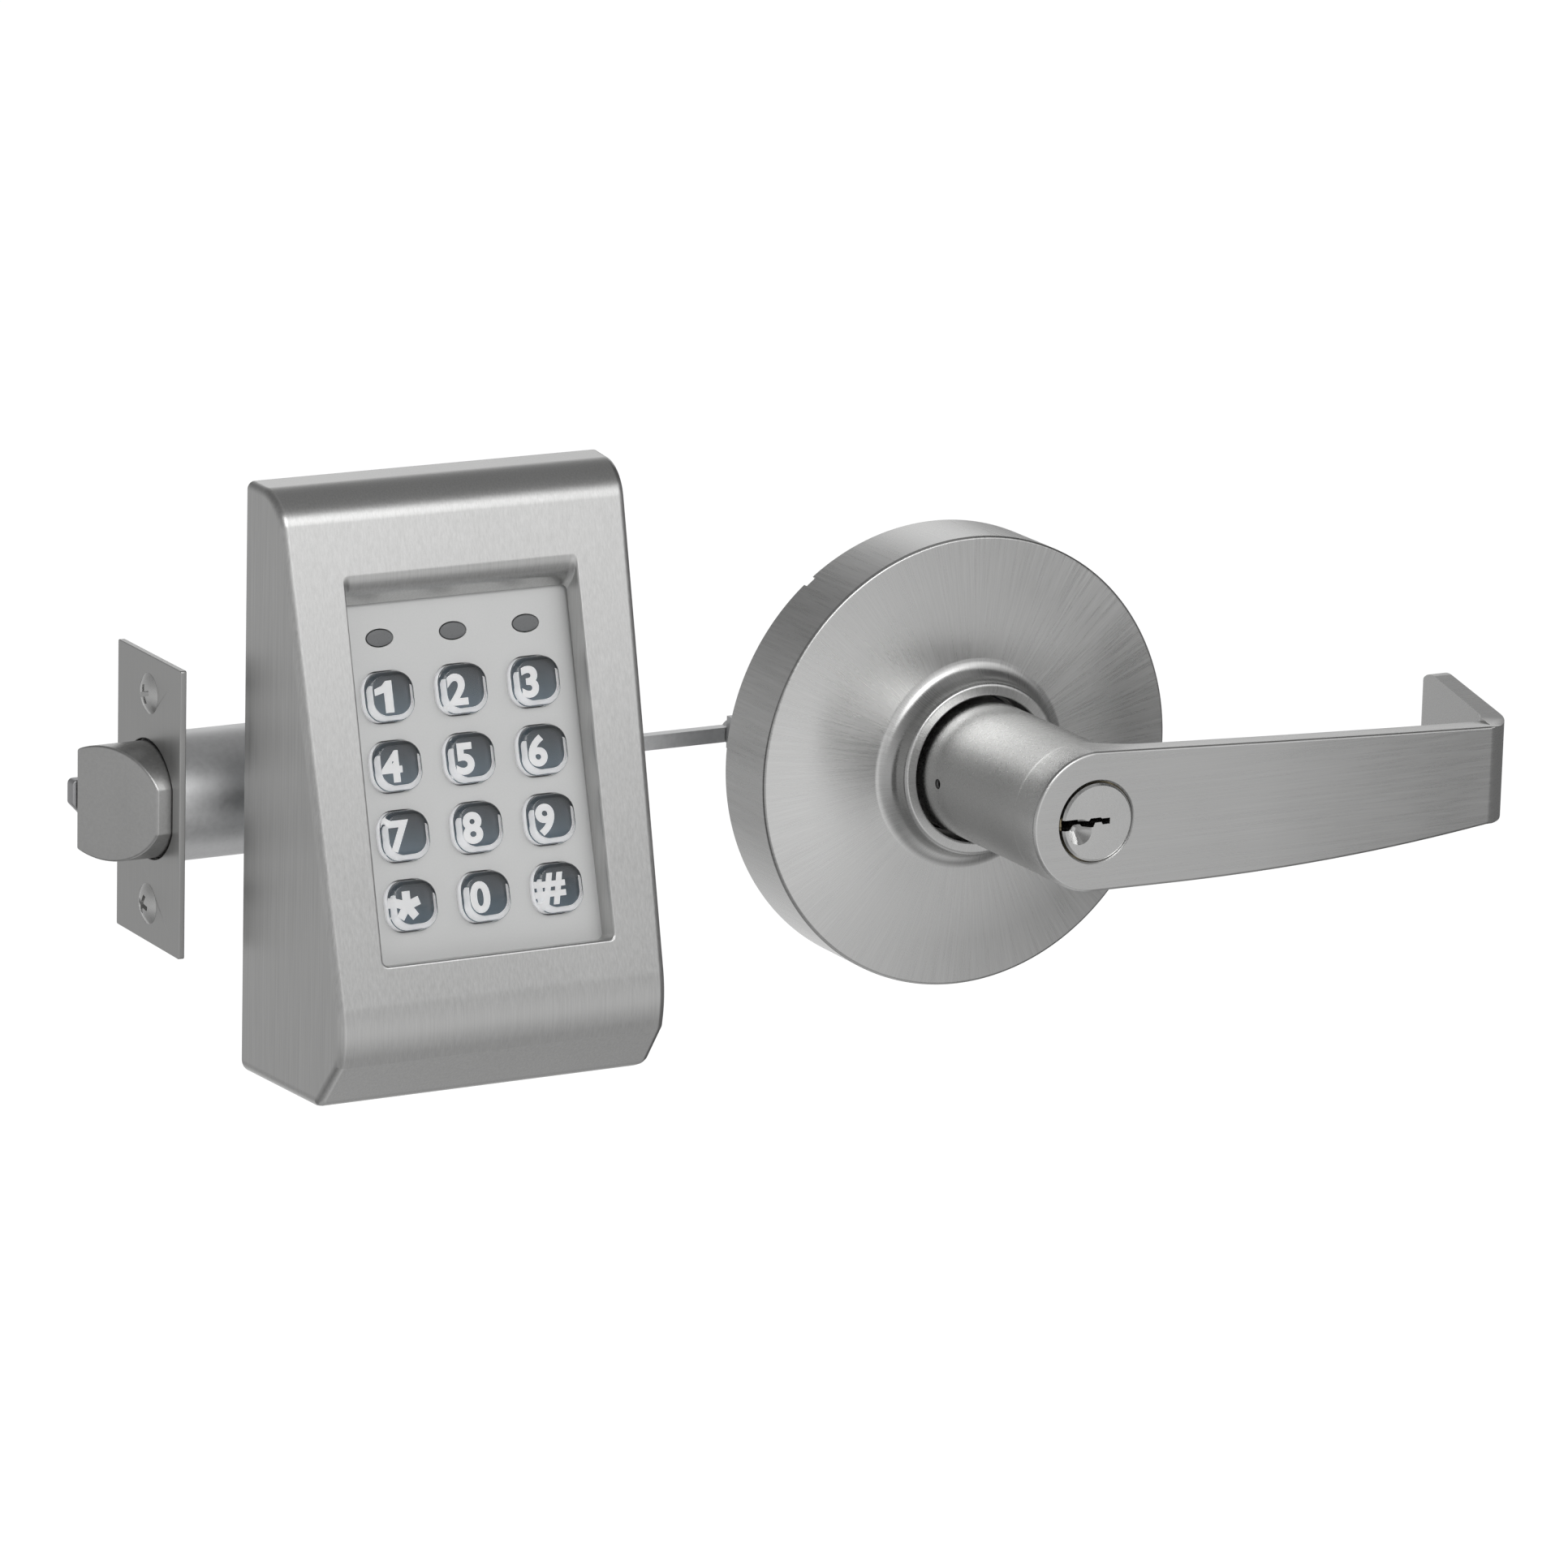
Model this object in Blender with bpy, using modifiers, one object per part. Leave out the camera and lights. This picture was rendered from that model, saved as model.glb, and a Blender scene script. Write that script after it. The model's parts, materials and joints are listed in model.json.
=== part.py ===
"""Keypad smart lock: edge latch, wedge keypad and outside lever with its key cylinder.

World frame: +X runs right along the door, +Y into the door, +Z up. The origin is on the lever's axis
at the door's outer face. Most parts are shaped in a door frame of their own: x right, y up, z out of
the door. All sizes below are in millimetres.
"""
import math

import bmesh
import bpy
from mathutils import Matrix, Vector

MM = 0.001
ASSEMBLY = "keypad_smart_lock"
GAP = 0.3                       # clearance between neighbouring pieces

# Door and layout
DOOR_THICKNESS = 44.45
BACKSET = 160.4                 # door edge to lever axis
LATCH_DEPTH = DOOR_THICKNESS / 2

# Rose
ROSE_RADIUS = 45.7
ROSE_RIM = 15.5
ROSE_WALL = 1.8
COLLAR_HOLE = 14.8
COLLAR_TOP = 22.0
MOUNTING_SCREW = 20.6           # each side of the lever's axis
DOOR_SCREW = (2.5, 4.2)         # radii of the shank and of the head
DOOR_SCREW_HOLE = 2.8

# Lever
STEM_RADIUS = 14.0
LEVER_FACE = 66.0
PADDLE_THICKNESS = 4.5
PADDLE_END = 96.8
RETURN_TIP = 35.0
PLUG_RADIUS = 7.8
PINHOLE_OUT = 28.5
BOLT_THROW = 12.7

# Chassis and retractor, with depths counted into the door
CHASSIS_RADIUS = 26.6
CHASSIS_WALL = 1.3
CHASSIS_FRONT = -2.2
CHASSIS_BACK = -29.0
COVER_BACK = -30.9
SPINDLE_RADIUS = 8.5
SPINDLE_BORE = 6.5
SPINDLE_FRONT = 34.0
SPINDLE_BACK = -18.4
CRANK_PIN_RADIUS = 2.0
CRANK_REACH = 16.0
RETRACTOR_NEAR = 19.6
RETRACTOR_FAR = 24.8
LINK_HEIGHT = 3.0
LINK_EYE = 2.6                  # radius of the round ends of the link
LINK_HOLE = 1.8
RETRACTOR_PIN = -31.0           # distance from the lever's axis
BOLT_PIN = -93.0
DRIVER_FRONT = 5.6
DRIVER_BACK = 3.0
LOCK_DRIVE = (3.4, 6.8)         # right of the lever's axis, out of the door

# Latch, with heights counted out of the door's edge
FACEPLATE = (57.15, 28.6, 1.3)
FACEPLATE_SCREW = 20.95
SCREW_LENGTH = 7.0
CASE_RADIUS = 12.6
CASE_WALL = 0.7
CASE_END = -60.0
BOLT_HEEL = -24.0
BOLT_RADIUS = 11.4
BOLT_FLAT = 10.6                # on the outer side
BOLT_FAR_FLAT = 5.5
OPENING_RADIUS = 11.8           # of the faceplate's opening for the bolt
OPENING_FLATS = (11.0, 8.7)
PLUNGER_SIDES = (5.8, 8.3)      # the deadlatch plunger, beyond the bolt's far flat
PLUNGER_HEEL = -15.0

# Keypad housing
KEYPAD_LEFT = -150.5
KEYPAD_BOTTOM = -50.3
KEYPAD_SIZE = (75.2, 117.4)
KEYPAD_WALL = 2.0
KEYPAD_DRAFT = 0.07
FACE_TOP = (13.2, 109.8)        # out of the door, above the housing's bottom
FACE_FOOT = (37.0, 20.4)
KNEE = 17.0                     # height where the face turns under
CREASE = (36.5, 10.2)
BOTTOM_FRONT = 28.2
WINDOW_HALF_WIDTH = 24.6
WINDOW_TOP = 98.2
WINDOW_FOOT = 28.8

# Keypad panel and keys
PANEL_CENTRE = (20.6, 60.0)     # out of the door, above the housing's bottom
PANEL_TILT = math.radians(16.2)
KEY_SIZE = (10.1, 9.6)
KEY_COLUMN = 15.6
KEY_ROW = 13.3
KEY_FIRST_ROW = 16.9
KEY_PROUD = 2.6
LED_ROW = 28.2
LED_SIZE = (5.5, 3.2)
KEY_NAMES = ("1", "2", "3", "4", "5", "6", "7", "8", "9", "star", "0", "hash")


# ---------------------------------------------------------------- shaping tools

def clear_scene():
    for obj in list(bpy.data.objects):
        bpy.data.objects.remove(obj, do_unlink=True)


def make_material(name, colour, roughness, metallic):
    material = bpy.data.materials.new(name)
    material.use_nodes = True
    shader = material.node_tree.nodes["Principled BSDF"]
    shader.inputs["Base Color"].default_value = (*colour, 1.0)
    shader.inputs["Roughness"].default_value = roughness
    shader.inputs["Metallic"].default_value = metallic
    material.diffuse_color = (*colour, 1.0)
    return material


def new_object(name, mesh):
    obj = bpy.data.objects.new(name, mesh)
    bpy.data.collections[ASSEMBLY].objects.link(obj)
    return obj


def mesh_from(build, name):
    """An object whose mesh is filled in by build(bm), with coordinates in millimetres."""
    bm = bmesh.new()
    build(bm)
    bmesh.ops.scale(bm, vec=(MM, MM, MM), verts=bm.verts)
    mesh = bpy.data.meshes.new(name)
    bm.to_mesh(mesh)
    bm.free()
    return new_object(name, mesh)


def box(name, low, high):
    size = Vector(high) - Vector(low)
    middle = (Vector(high) + Vector(low)) / 2
    matrix = Matrix.Translation(middle) @ Matrix.Diagonal((*size, 1.0))
    return mesh_from(lambda bm: bmesh.ops.create_cube(bm, size=1.0, matrix=matrix), name)


def cylinder(name, radius, low, high, centre=(0.0, 0.0), sides=28, top_radius=None):
    matrix = Matrix.Translation((centre[0], centre[1], (low + high) / 2))
    top = radius if top_radius is None else top_radius
    return mesh_from(
        lambda bm: bmesh.ops.create_cone(
            bm, cap_ends=True, segments=sides, radius1=radius, radius2=top,
            depth=high - low, matrix=matrix),
        name)


def apply_modifiers(obj):
    depsgraph = bpy.context.evaluated_depsgraph_get()
    mesh = bpy.data.meshes.new_from_object(obj.evaluated_get(depsgraph))
    obj.modifiers.clear()
    obj.data = mesh
    return obj


def combine(obj, others, operation):
    """Applies an exact boolean with each other object in turn and removes those objects."""
    for other in others:
        modifier = obj.modifiers.new(operation.lower(), "BOOLEAN")
        modifier.operation = operation
        modifier.solver = "EXACT"
        modifier.object = other
        apply_modifiers(obj)
        bpy.data.objects.remove(other, do_unlink=True)
    return obj


def cut(obj, *cutters):
    return combine(obj, cutters, "DIFFERENCE")


def join(obj, *others):
    return combine(obj, others, "UNION")


def common(obj, *others):
    return combine(obj, others, "INTERSECT")


def turn_mesh(obj, matrix):
    obj.data.transform(matrix)
    return obj


def weld(mesh):
    bm = bmesh.new()
    bm.from_mesh(mesh)
    bmesh.ops.remove_doubles(bm, verts=bm.verts, dist=1e-6)
    bmesh.ops.recalc_face_normals(bm, faces=bm.faces)
    bm.to_mesh(mesh)
    bm.free()


def curve_to_mesh(name, curve):
    holder = new_object(name + "_curve", curve)
    depsgraph = bpy.context.evaluated_depsgraph_get()
    mesh = bpy.data.meshes.new_from_object(holder.evaluated_get(depsgraph))
    bpy.data.objects.remove(holder, do_unlink=True)
    weld(mesh)
    return new_object(name, mesh)


def outline_solid(name, points, low, high):
    """A flat outline given counter-clockwise in x and y, filled from z = low to z = high."""
    curve = bpy.data.curves.new(name, "CURVE")
    curve.dimensions = "2D"
    curve.fill_mode = "BOTH"
    curve.extrude = (high - low) / 2 * MM
    spline = curve.splines.new("POLY")
    spline.points.add(len(points) - 1)
    for point, (x, y) in zip(spline.points, points):
        point.co = (x * MM, y * MM, 0.0, 1.0)
    spline.use_cyclic_u = True
    obj = curve_to_mesh(name, curve)
    return turn_mesh(obj, Matrix.Translation((0, 0, (low + high) / 2 * MM)))


def turned(name, profile, steps=64):
    """A ring turned about z from a closed profile of (radius, height) points."""
    count = len(profile)
    mesh = bpy.data.meshes.new(name)
    bm = bmesh.new()
    verts = [bm.verts.new((r * MM, 0, z * MM)) for r, z in profile]
    for i in range(count):
        bm.edges.new((verts[i], verts[(i + 1) % count]))
    bm.to_mesh(mesh)
    bm.free()
    obj = new_object(name, mesh)
    screw = obj.modifiers.new("turn", "SCREW")
    screw.axis = "Z"
    screw.steps = screw.render_steps = steps
    screw.use_merge_vertices = True
    screw.merge_threshold = 1e-5
    apply_modifiers(obj)
    weld(obj.data)
    return obj


def coil(name, radius, wire, low, high, turns, steps=14, legs=()):
    """A helical wire about z, with a straight leg to each point given in legs."""
    curve = bpy.data.curves.new(name, "CURVE")
    curve.dimensions = "3D"
    curve.bevel_depth = wire / 2 * MM
    curve.bevel_resolution = 1
    curve.use_fill_caps = True
    count = int(turns * steps)
    points = []
    for i in range(count + 1):
        angle = 2 * math.pi * i / steps
        height = low + (high - low) * i / count
        points.append((radius * math.cos(angle), radius * math.sin(angle), height))
    if legs:
        points = [legs[0]] + points + [legs[1]]
    spline = curve.splines.new("POLY")
    spline.points.add(len(points) - 1)
    for point, place in zip(spline.points, points):
        point.co = (*(c * MM for c in place), 1.0)
    return curve_to_mesh(name, curve)


def dissolve_flat(mesh):
    """Makes one face of each flat area, so that a bevel has room there."""
    bm = bmesh.new()
    bm.from_mesh(mesh)
    bmesh.ops.dissolve_limit(bm, angle_limit=math.radians(0.2), verts=bm.verts, edges=bm.edges)
    bm.to_mesh(mesh)
    bm.free()


def bevel(obj, width, segments=2, angle=35):
    dissolve_flat(obj.data)
    modifier = obj.modifiers.new("bevel", "BEVEL")
    modifier.width = width * MM
    modifier.segments = segments
    modifier.limit_method = "ANGLE"
    modifier.angle_limit = math.radians(angle)
    modifier.use_clamp_overlap = False
    return apply_modifiers(obj)


def rounded(points, radii, steps=5):
    """The outline through the points with each corner turned into an arc of its own radius."""
    result = []
    count = len(points)
    for i, radius in enumerate(radii):
        here = Vector(points[i])
        before = (Vector(points[i - 1]) - here).normalized()
        after = (Vector(points[(i + 1) % count]) - here).normalized()
        if radius == 0:
            result.append(tuple(here))
            continue
        half = before.angle(after) / 2
        centre = here + (before + after).normalized() * radius / math.sin(half)
        start = here + before * radius / math.tan(half) - centre
        end = here + after * radius / math.tan(half) - centre
        sweep = start.angle_signed(end)
        for k in range(steps + 1):
            turn = Matrix.Rotation(-sweep * k / steps, 2)
            result.append(tuple(centre + turn @ start))
    return result


def rounded_rectangle(width, height, radius, steps=4):
    x, y = width / 2, height / 2
    return rounded([(-x, -y), (x, -y), (x, y), (-x, y)], [radius] * 4, steps)


def ellipse(width, height, sides=14):
    angles = [2 * math.pi * i / sides for i in range(sides)]
    return [(width / 2 * math.cos(a), height / 2 * math.sin(a)) for a in angles]


def flat_sided_circle(radius, near_flat, far_flat, steps=14):
    """A circle cut off at y = -near_flat and y = far_flat."""
    low = math.asin(-near_flat / radius)
    high = math.asin(min(far_flat / radius, 0.999))
    right = [low + (high - low) * i / steps for i in range(steps + 1)]
    left = [math.pi - angle for angle in reversed(right)]
    return [(radius * math.cos(a), radius * math.sin(a)) for a in right + left]


def finish(obj, material, parent, location=(0, 0, 0), rotation=(0, 0, 0)):
    """Gives a shaped part its material and its place under a frame."""
    obj.data.materials.clear()
    obj.data.materials.append(material)
    obj.data.shade_smooth()
    obj.data.set_sharp_from_angle(angle=math.radians(35))
    obj.parent = parent
    obj.location = [c * MM for c in location]
    obj.rotation_euler = rotation
    return obj


def frame(name, location, rotation, parent=None):
    empty = bpy.data.objects.new(name, None)
    bpy.data.collections[ASSEMBLY].objects.link(empty)
    empty.empty_display_size = 0.02
    empty.location = [c * MM for c in location]
    empty.rotation_euler = rotation
    empty.parent = parent
    return empty


# ---------------------------------------------------------------- rose and chassis

def build_rose(door, satin):
    profile = [
        (COLLAR_HOLE, COLLAR_TOP), (16.6, COLLAR_TOP), (17.1, 21.3), (17.7, 21.3), (18.0, 21.7),
        (18.6, 21.6), (18.9, 21.0), (18.9, 19.4), (19.2, 18.2), (19.9, 17.3), (21.2, 16.9),
        (ROSE_RADIUS - 0.6, ROSE_RIM + 0.4), (ROSE_RADIUS, ROSE_RIM - 0.2), (ROSE_RADIUS, 0.0),
        (ROSE_RADIUS - ROSE_WALL, 0.0), (ROSE_RADIUS - ROSE_WALL, 14.1), (20.5, 15.2),
        (COLLAR_HOLE, 15.2),
    ]
    rose = turned("rose", profile, 56)
    notch = box("notch", (-30.0, 33.0, -1.0), (-27.6, 40.0, 1.1))
    finish(cut(rose, notch), satin, door)


def build_bearing(door, nylon):
    profile = [(17.5, 14.9), (17.5, 9.6), (14.3, 9.6), (14.3, 14.9)]
    finish(turned("lever_bearing", profile, 32), nylon, door)


def build_mounting_plate(door, steel):
    plate = cylinder("rose_mounting_plate", 43.4, 0.4, 2.4, sides=44)
    cut(plate, cylinder("hole", 15.0, -1, 4))
    for side in (-1, 1):
        cut(plate, cylinder("hole", DOOR_SCREW_HOLE, -1, 4, centre=(side * MOUNTING_SCREW, 0), sides=20))
    finish(plate, steel, door)


def build_mounting_posts(door, steel):
    for label, side in (("left", -1), ("right", 1)):
        post = cylinder("post", DOOR_SCREW[0], -1.8, 2.7, sides=20)
        join(post, cylinder("head", DOOR_SCREW[1], 2.7, 4.6, sides=24))
        post.name = f"mounting_screw_{label}"
        finish(post, steel, door, (side * MOUNTING_SCREW, 0, 0))


def build_chassis(door, steel):
    inner = CHASSIS_RADIUS - CHASSIS_WALL
    shoulder = CHASSIS_FRONT - 1.8
    hole = SPINDLE_RADIUS + 0.4
    profile = [
        (CHASSIS_RADIUS, CHASSIS_FRONT), (CHASSIS_RADIUS, CHASSIS_BACK), (inner, CHASSIS_BACK),
        (inner, shoulder), (hole, shoulder), (hole, CHASSIS_FRONT),
    ]
    housing = turned("chassis_housing", profile, 40)
    slot = box("slot", (-30, -6, -26.0), (-20, 7, -18.4))
    finish(cut(housing, slot), steel, door)
    cover = cylinder("chassis_cover", CHASSIS_RADIUS, COVER_BACK, CHASSIS_BACK - GAP, sides=40)
    cut(cover, cylinder("hole", 9.0, -32, -28))
    finish(cover, steel, door)


def build_spindle(door, steel):
    profile = [(SPINDLE_RADIUS, SPINDLE_FRONT), (SPINDLE_RADIUS, SPINDLE_BACK),
               (SPINDLE_BORE, SPINDLE_BACK), (SPINDLE_BORE, SPINDLE_FRONT)]
    spindle = turned("spindle", profile, 28)
    pocket = cylinder("pocket", 2.6, -12, -4, sides=24)
    turn_mesh(pocket, Matrix.Rotation(math.pi / 2, 4, "Y"))
    turn_mesh(pocket, Matrix.Translation((0, 0, PINHOLE_OUT * MM)))
    finish(cut(spindle, pocket), steel, door)


def build_crank(door, steel):
    near, far = -14.8, SPINDLE_BACK
    crank = cylinder("retractor_crank", 12.0, far, near)
    arm = outline_solid(
        "arm", rounded([(-3.5, 6), (3.5, 6), (3.5, 19), (-3.5, 19)], [0, 0, 3.4, 3.4]), far, near)
    pin = cylinder("pin", CRANK_PIN_RADIUS, -24.5, near - 1, centre=(0, CRANK_REACH), sides=24)
    join(crank, arm, pin)
    cut(crank, cylinder("hole", SPINDLE_RADIUS + GAP, far - 1, near + 1))
    finish(crank, steel, door)


def build_retractor(door, steel):
    """A bar across the chassis with a fork that the crank's pin stands in."""
    near, far = -RETRACTOR_NEAR, -RETRACTOR_FAR
    slot = CRANK_PIN_RADIUS + 0.8
    bar = box("retractor", (-24, -5, far), (8, 6.5, near))
    for side in (-1, 1):
        low, high = sorted((side * slot, side * (slot + 2.2)))
        join(bar, box("prong", (low, 4, far), (high, 17.5, near)))
    cut(bar, box("notch", (-slot, 5.6, far - 1), (slot, 10, near + 1)))
    join(bar, box("tongue", (RETRACTOR_PIN - LINK_EYE, -LINK_EYE, -LATCH_DEPTH + 0.2), (-23, 4, near)))
    cut(bar, cylinder("hole", LINK_HOLE, far - 1, near + 1, centre=(RETRACTOR_PIN, 0), sides=20))
    finish(bar, steel, door)


def build_link(door, steel):
    near, far = -LATCH_DEPTH - 0.1, -24.7
    half = LINK_HEIGHT / 2
    link = box("extension_link", (BOLT_PIN, -half, far), (RETRACTOR_PIN, half, near))
    pins = (("bolt_link_pin", BOLT_PIN), ("retractor_link_pin", RETRACTOR_PIN))
    for name, x in pins:
        join(link, cylinder("eye", LINK_EYE, far, near, centre=(x, 0), sides=24))
        cut(link, cylinder("hole", LINK_HOLE, far - 1, near + 1, centre=(x, 0), sides=20))
        pin = cylinder("pin", 1.5, far - 0.2, -RETRACTOR_NEAR + 0.2, sides=20)
        join(pin, cylinder("head", 2.4, -RETRACTOR_NEAR + 0.2, -RETRACTOR_NEAR + 1.0, sides=20))
        pin.name = name
        finish(pin, steel, door, (x, 0, 0))
    finish(link, steel, door)


def build_return_spring(door, spring_steel):
    legs = ((12.0, -7.0, 6.6), (12.0, 7.0, 8.2))
    spring = coil("lever_return_spring", 11.9, 1.0, 6.6, 8.2, 1.0, steps=24, legs=legs)
    finish(spring, spring_steel, door)


def build_driver(door, steel):
    """The ring on the spindle whose lug the locking dog can block."""
    near, far = DRIVER_FRONT, DRIVER_BACK
    ring = cylinder("spindle_driver", 14.5, far, near, sides=32)
    lug = [(r * math.sin(math.radians(a)), r * math.cos(math.radians(a)))
           for r, a in ((13, -3), (19, -3), (19, -9), (19, -16), (19, -22), (13, -22))]
    join(ring, outline_solid("lug", lug, far, near))
    cut(ring, cylinder("hole", SPINDLE_RADIUS + GAP, far - 1, near + 1))
    finish(ring, steel, door)


def build_lock_drive(door, steel, brass, nylon):
    """The motor, its lead screw and the dog that the screw moves in and out beside the lug."""
    x, out = LOCK_DRIVE
    motor = cylinder("lock_motor", 3.6, -6.0, 6.0, sides=32)
    finish(motor, steel, door, (x, 35.6, out), (math.pi / 2, 0, 0))
    screw = cylinder("motor_lead_screw", 1.2, -3.5, 3.5, sides=24)
    finish(screw, brass, door, (x, 25.8, out), (math.pi / 2, 0, 0))
    dog = box("locking_dog", (-3.0, -2.2, -3.6), (3.0, 2.2, 2.8))
    join(dog, box("tip", (-2.2, -5.0, -3.6), (2.4, -1.0, -1.4)))
    bore = cylinder("bore", 1.5, -6, 6, sides=24)
    turn_mesh(bore, Matrix.Rotation(math.pi / 2, 4, "X"))
    finish(cut(dog, bore), nylon, door, (x, 24.6, out))


# ---------------------------------------------------------------- lever

def paddle_plan():
    """The paddle seen from above: x, then distance out of the door."""
    inner = LEVER_FACE - PADDLE_THICKNESS
    points = [
        (-16, inner), (58, inner), (PADDLE_END - 4.3, inner - 1.4), (PADDLE_END - 3.2, RETURN_TIP),
        (PADDLE_END + 0.8, RETURN_TIP), (PADDLE_END, LEVER_FACE - 1.2), (60, LEVER_FACE),
        (-16, LEVER_FACE),
    ]
    return rounded(points, [0, 60, 1.5, 1.4, 1.4, 5.0, 60, 0])


def paddle_front():
    """The paddle seen from the front: a round hub and a taper with a fuller lower edge."""
    hub = [(STEM_RADIUS * math.cos(math.radians(a)), STEM_RADIUS * math.sin(math.radians(a)))
           for a in range(92, 272, 12)]
    far = PADDLE_END + 0.4
    taper = rounded(
        [(0, -STEM_RADIUS), (52, -14.6), (far, -9.8), (far, 9.3)], [0, 600, 3.0, 0.6])
    return hub[:-1] + taper


def return_side():
    """The return seen from the end: distance out of the door, then height. It rises to its tip."""
    near, tip = LEVER_FACE - 1.2, RETURN_TIP - 0.4
    return rounded(
        [(near, -7.4), (near, 9.1), (tip, 14.2), (tip, -11.4), (56, -10.0)], [0, 0, 5.0, 6.0, 0])


def build_lever(door, satin):
    paddle = outline_solid("lever_handle", paddle_plan(), -17, 17)
    turn_mesh(paddle, Matrix(((1, 0, 0, 0), (0, 0, -1, 0), (0, 1, 0, 0), (0, 0, 0, 1))))
    front = outline_solid("front", paddle_front(), LEVER_FACE - 7, 70)
    end = outline_solid("end", return_side(), PADDLE_END - 5, PADDLE_END + 5)
    turn_mesh(end, Matrix(((0, 0, 1, 0), (0, 1, 0, 0), (1, 0, 0, 0), (0, 0, 0, 1))))
    weld(end.data)
    common(paddle, join(front, end))
    stem = cylinder("stem", STEM_RADIUS, 9.6, LEVER_FACE - 2, sides=40)
    join(paddle, stem)
    web = 16.0
    pinhole = cylinder("pinhole", 1.0, -20, -10, sides=16)
    counterbore = cylinder("counterbore", 2.5, -13.2, -10, sides=24)
    for hole in (pinhole, counterbore):
        turn_mesh(hole, Matrix.Rotation(math.pi / 2, 4, "Y"))
        turn_mesh(hole, Matrix.Translation((0, 0, PINHOLE_OUT * MM)))
    cut(
        paddle,
        cylinder("bore", SPINDLE_RADIUS + GAP, 0, web + 1, sides=32),
        cylinder("cavity", 11.6, web, 64.0, sides=32),
        cylinder("mouth", PLUG_RADIUS + 0.3, 60, LEVER_FACE + 2, sides=32),
        counterbore,
        pinhole,
    )
    finish(paddle, satin, door)


def build_cylinder(door, brass, satin, steel):
    """The key cylinder: a shell with its pin chamber, the plug with the keyway, and the tailpiece."""
    shell = cylinder("cylinder_shell", 9.0, 38.0, 63.7, sides=32)
    join(shell, box("chamber", (-11.2, -2.4, 39.0), (-7.5, 2.4, 62.0)))
    cut(shell, cylinder("bore", 6.6, 37, 65, sides=28))
    finish(shell, brass, door)

    plug = cylinder("key_plug", 6.3, 37.4, 64.2, sides=28)
    join(plug, cylinder("head", PLUG_RADIUS, 64.1, LEVER_FACE + 0.5, sides=32))
    cut(plug, box("keyway", (-9.0, -0.9, 46.0), (2.6, 0.9, 70.0)))
    finish(plug, satin, door)

    tail = box("tailpiece", (-3.0, -0.8, -17.5), (3.0, 0.8, 37.1))
    finish(tail, steel, door)


def build_lever_catch(door, steel):
    catch = cylinder("lever_catch", 2.2, -12.9, -7.4, sides=24)
    turn_mesh(catch, Matrix.Rotation(math.pi / 2, 4, "Y"))
    finish(catch, steel, door, (0, 0, PINHOLE_OUT))


# ---------------------------------------------------------------- latch

def build_latch(latch, satin, steel, spring_steel, zinc):
    height, width, thickness = FACEPLATE
    plate = box("faceplate", (-height / 2, -width / 2, -thickness), (height / 2, width / 2, 0))
    opening = outline_solid("opening", flat_sided_circle(OPENING_RADIUS, *OPENING_FLATS), -5, 5)
    cut(plate, opening)
    for side in (-1, 1):
        centre = (side * FACEPLATE_SCREW, 0)
        cut(plate, cylinder("hole", 2.4, -5, 5, centre, 24),
            cylinder("sink", 2.0, -2.4, 0.4, centre, 24, top_radius=4.7))
    finish(plate, satin, latch)

    for label, side in (("upper", 1), ("lower", -1)):
        screw = cylinder("screw", 1.9, -SCREW_LENGTH, -1.9, sides=20)
        join(screw, cylinder("head", 1.9, -2.0, 0.0, sides=20, top_radius=4.0))
        join(screw, cylinder("dome", 4.0, -0.05, 0.5, sides=20, top_radius=2.6))
        cross = box("cross", (-2.3, -0.45, -0.8), (2.3, 0.45, 1.0))
        other = box("cross", (-0.45, -2.3, -0.8), (0.45, 2.3, 1.0))
        cut(screw, cross, other)
        screw.name = f"faceplate_screw_{label}"
        finish(screw, steel, latch, (side * FACEPLATE_SCREW, 0, 0))

    near, far = -thickness - GAP, CASE_END
    inner = CASE_RADIUS - CASE_WALL
    profile = [(CASE_RADIUS, near), (CASE_RADIUS, far), (6.0, far), (6.0, far + 1.6),
               (inner, far + 1.6), (inner, near)]
    finish(turned("latch_case", profile, 32), steel, latch)

    bolt = outline_solid(
        "latch_bolt", flat_sided_circle(BOLT_RADIUS, BOLT_FLAT, BOLT_FAR_FLAT), BOLT_HEEL, BOLT_THROW)
    bevel_face = outline_solid("slope", [(-14, 0.95), (9.5, 15.1), (9.5, 30), (-14, 30)], -20, 20)
    turn_mesh(bevel_face, Matrix(((0, 0, 1, 0), (1, 0, 0, 0), (0, 1, 0, 0), (0, 0, 0, 1))))
    weld(bevel_face.data)
    finish(cut(bolt, bevel_face), satin, latch)

    tail = box("bolt_tail", (-4.0, -2.4, -74.0), (4.0, -0.2, BOLT_HEEL - GAP))
    hole = cylinder("hole", 1.8, -5, 5, sides=20)
    turn_mesh(hole, Matrix.Rotation(math.pi / 2, 4, "X"))
    turn_mesh(hole, Matrix.Translation((0, 0, -(BACKSET + BOLT_PIN) * MM)))
    finish(cut(tail, hole), steel, latch)

    plunger = outline_solid(
        "deadlatch_plunger",
        [(-4.2, PLUNGER_HEEL), (3.6, PLUNGER_HEEL), (3.6, 13.4), (-1.2, 13.4), (-4.2, 10.6)],
        *PLUNGER_SIDES)
    turn_mesh(plunger, Matrix(((1, 0, 0, 0), (0, 0, 1, 0), (0, 1, 0, 0), (0, 0, 0, 1))))
    weld(plunger.data)
    finish(plunger, zinc, latch)

    spring = coil("latch_spring", 7.4, 1.0, -57.0, -25.2, 5.0, steps=10)
    finish(spring, spring_steel, latch)


# ---------------------------------------------------------------- keypad

def face_depth(height):
    """How far the sloped face stands out of the door at a height above the housing's bottom."""
    slope = (FACE_FOOT[0] - FACE_TOP[0]) / (FACE_TOP[1] - FACE_FOOT[1])
    return FACE_TOP[0] + (FACE_TOP[1] - height) * slope


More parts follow.
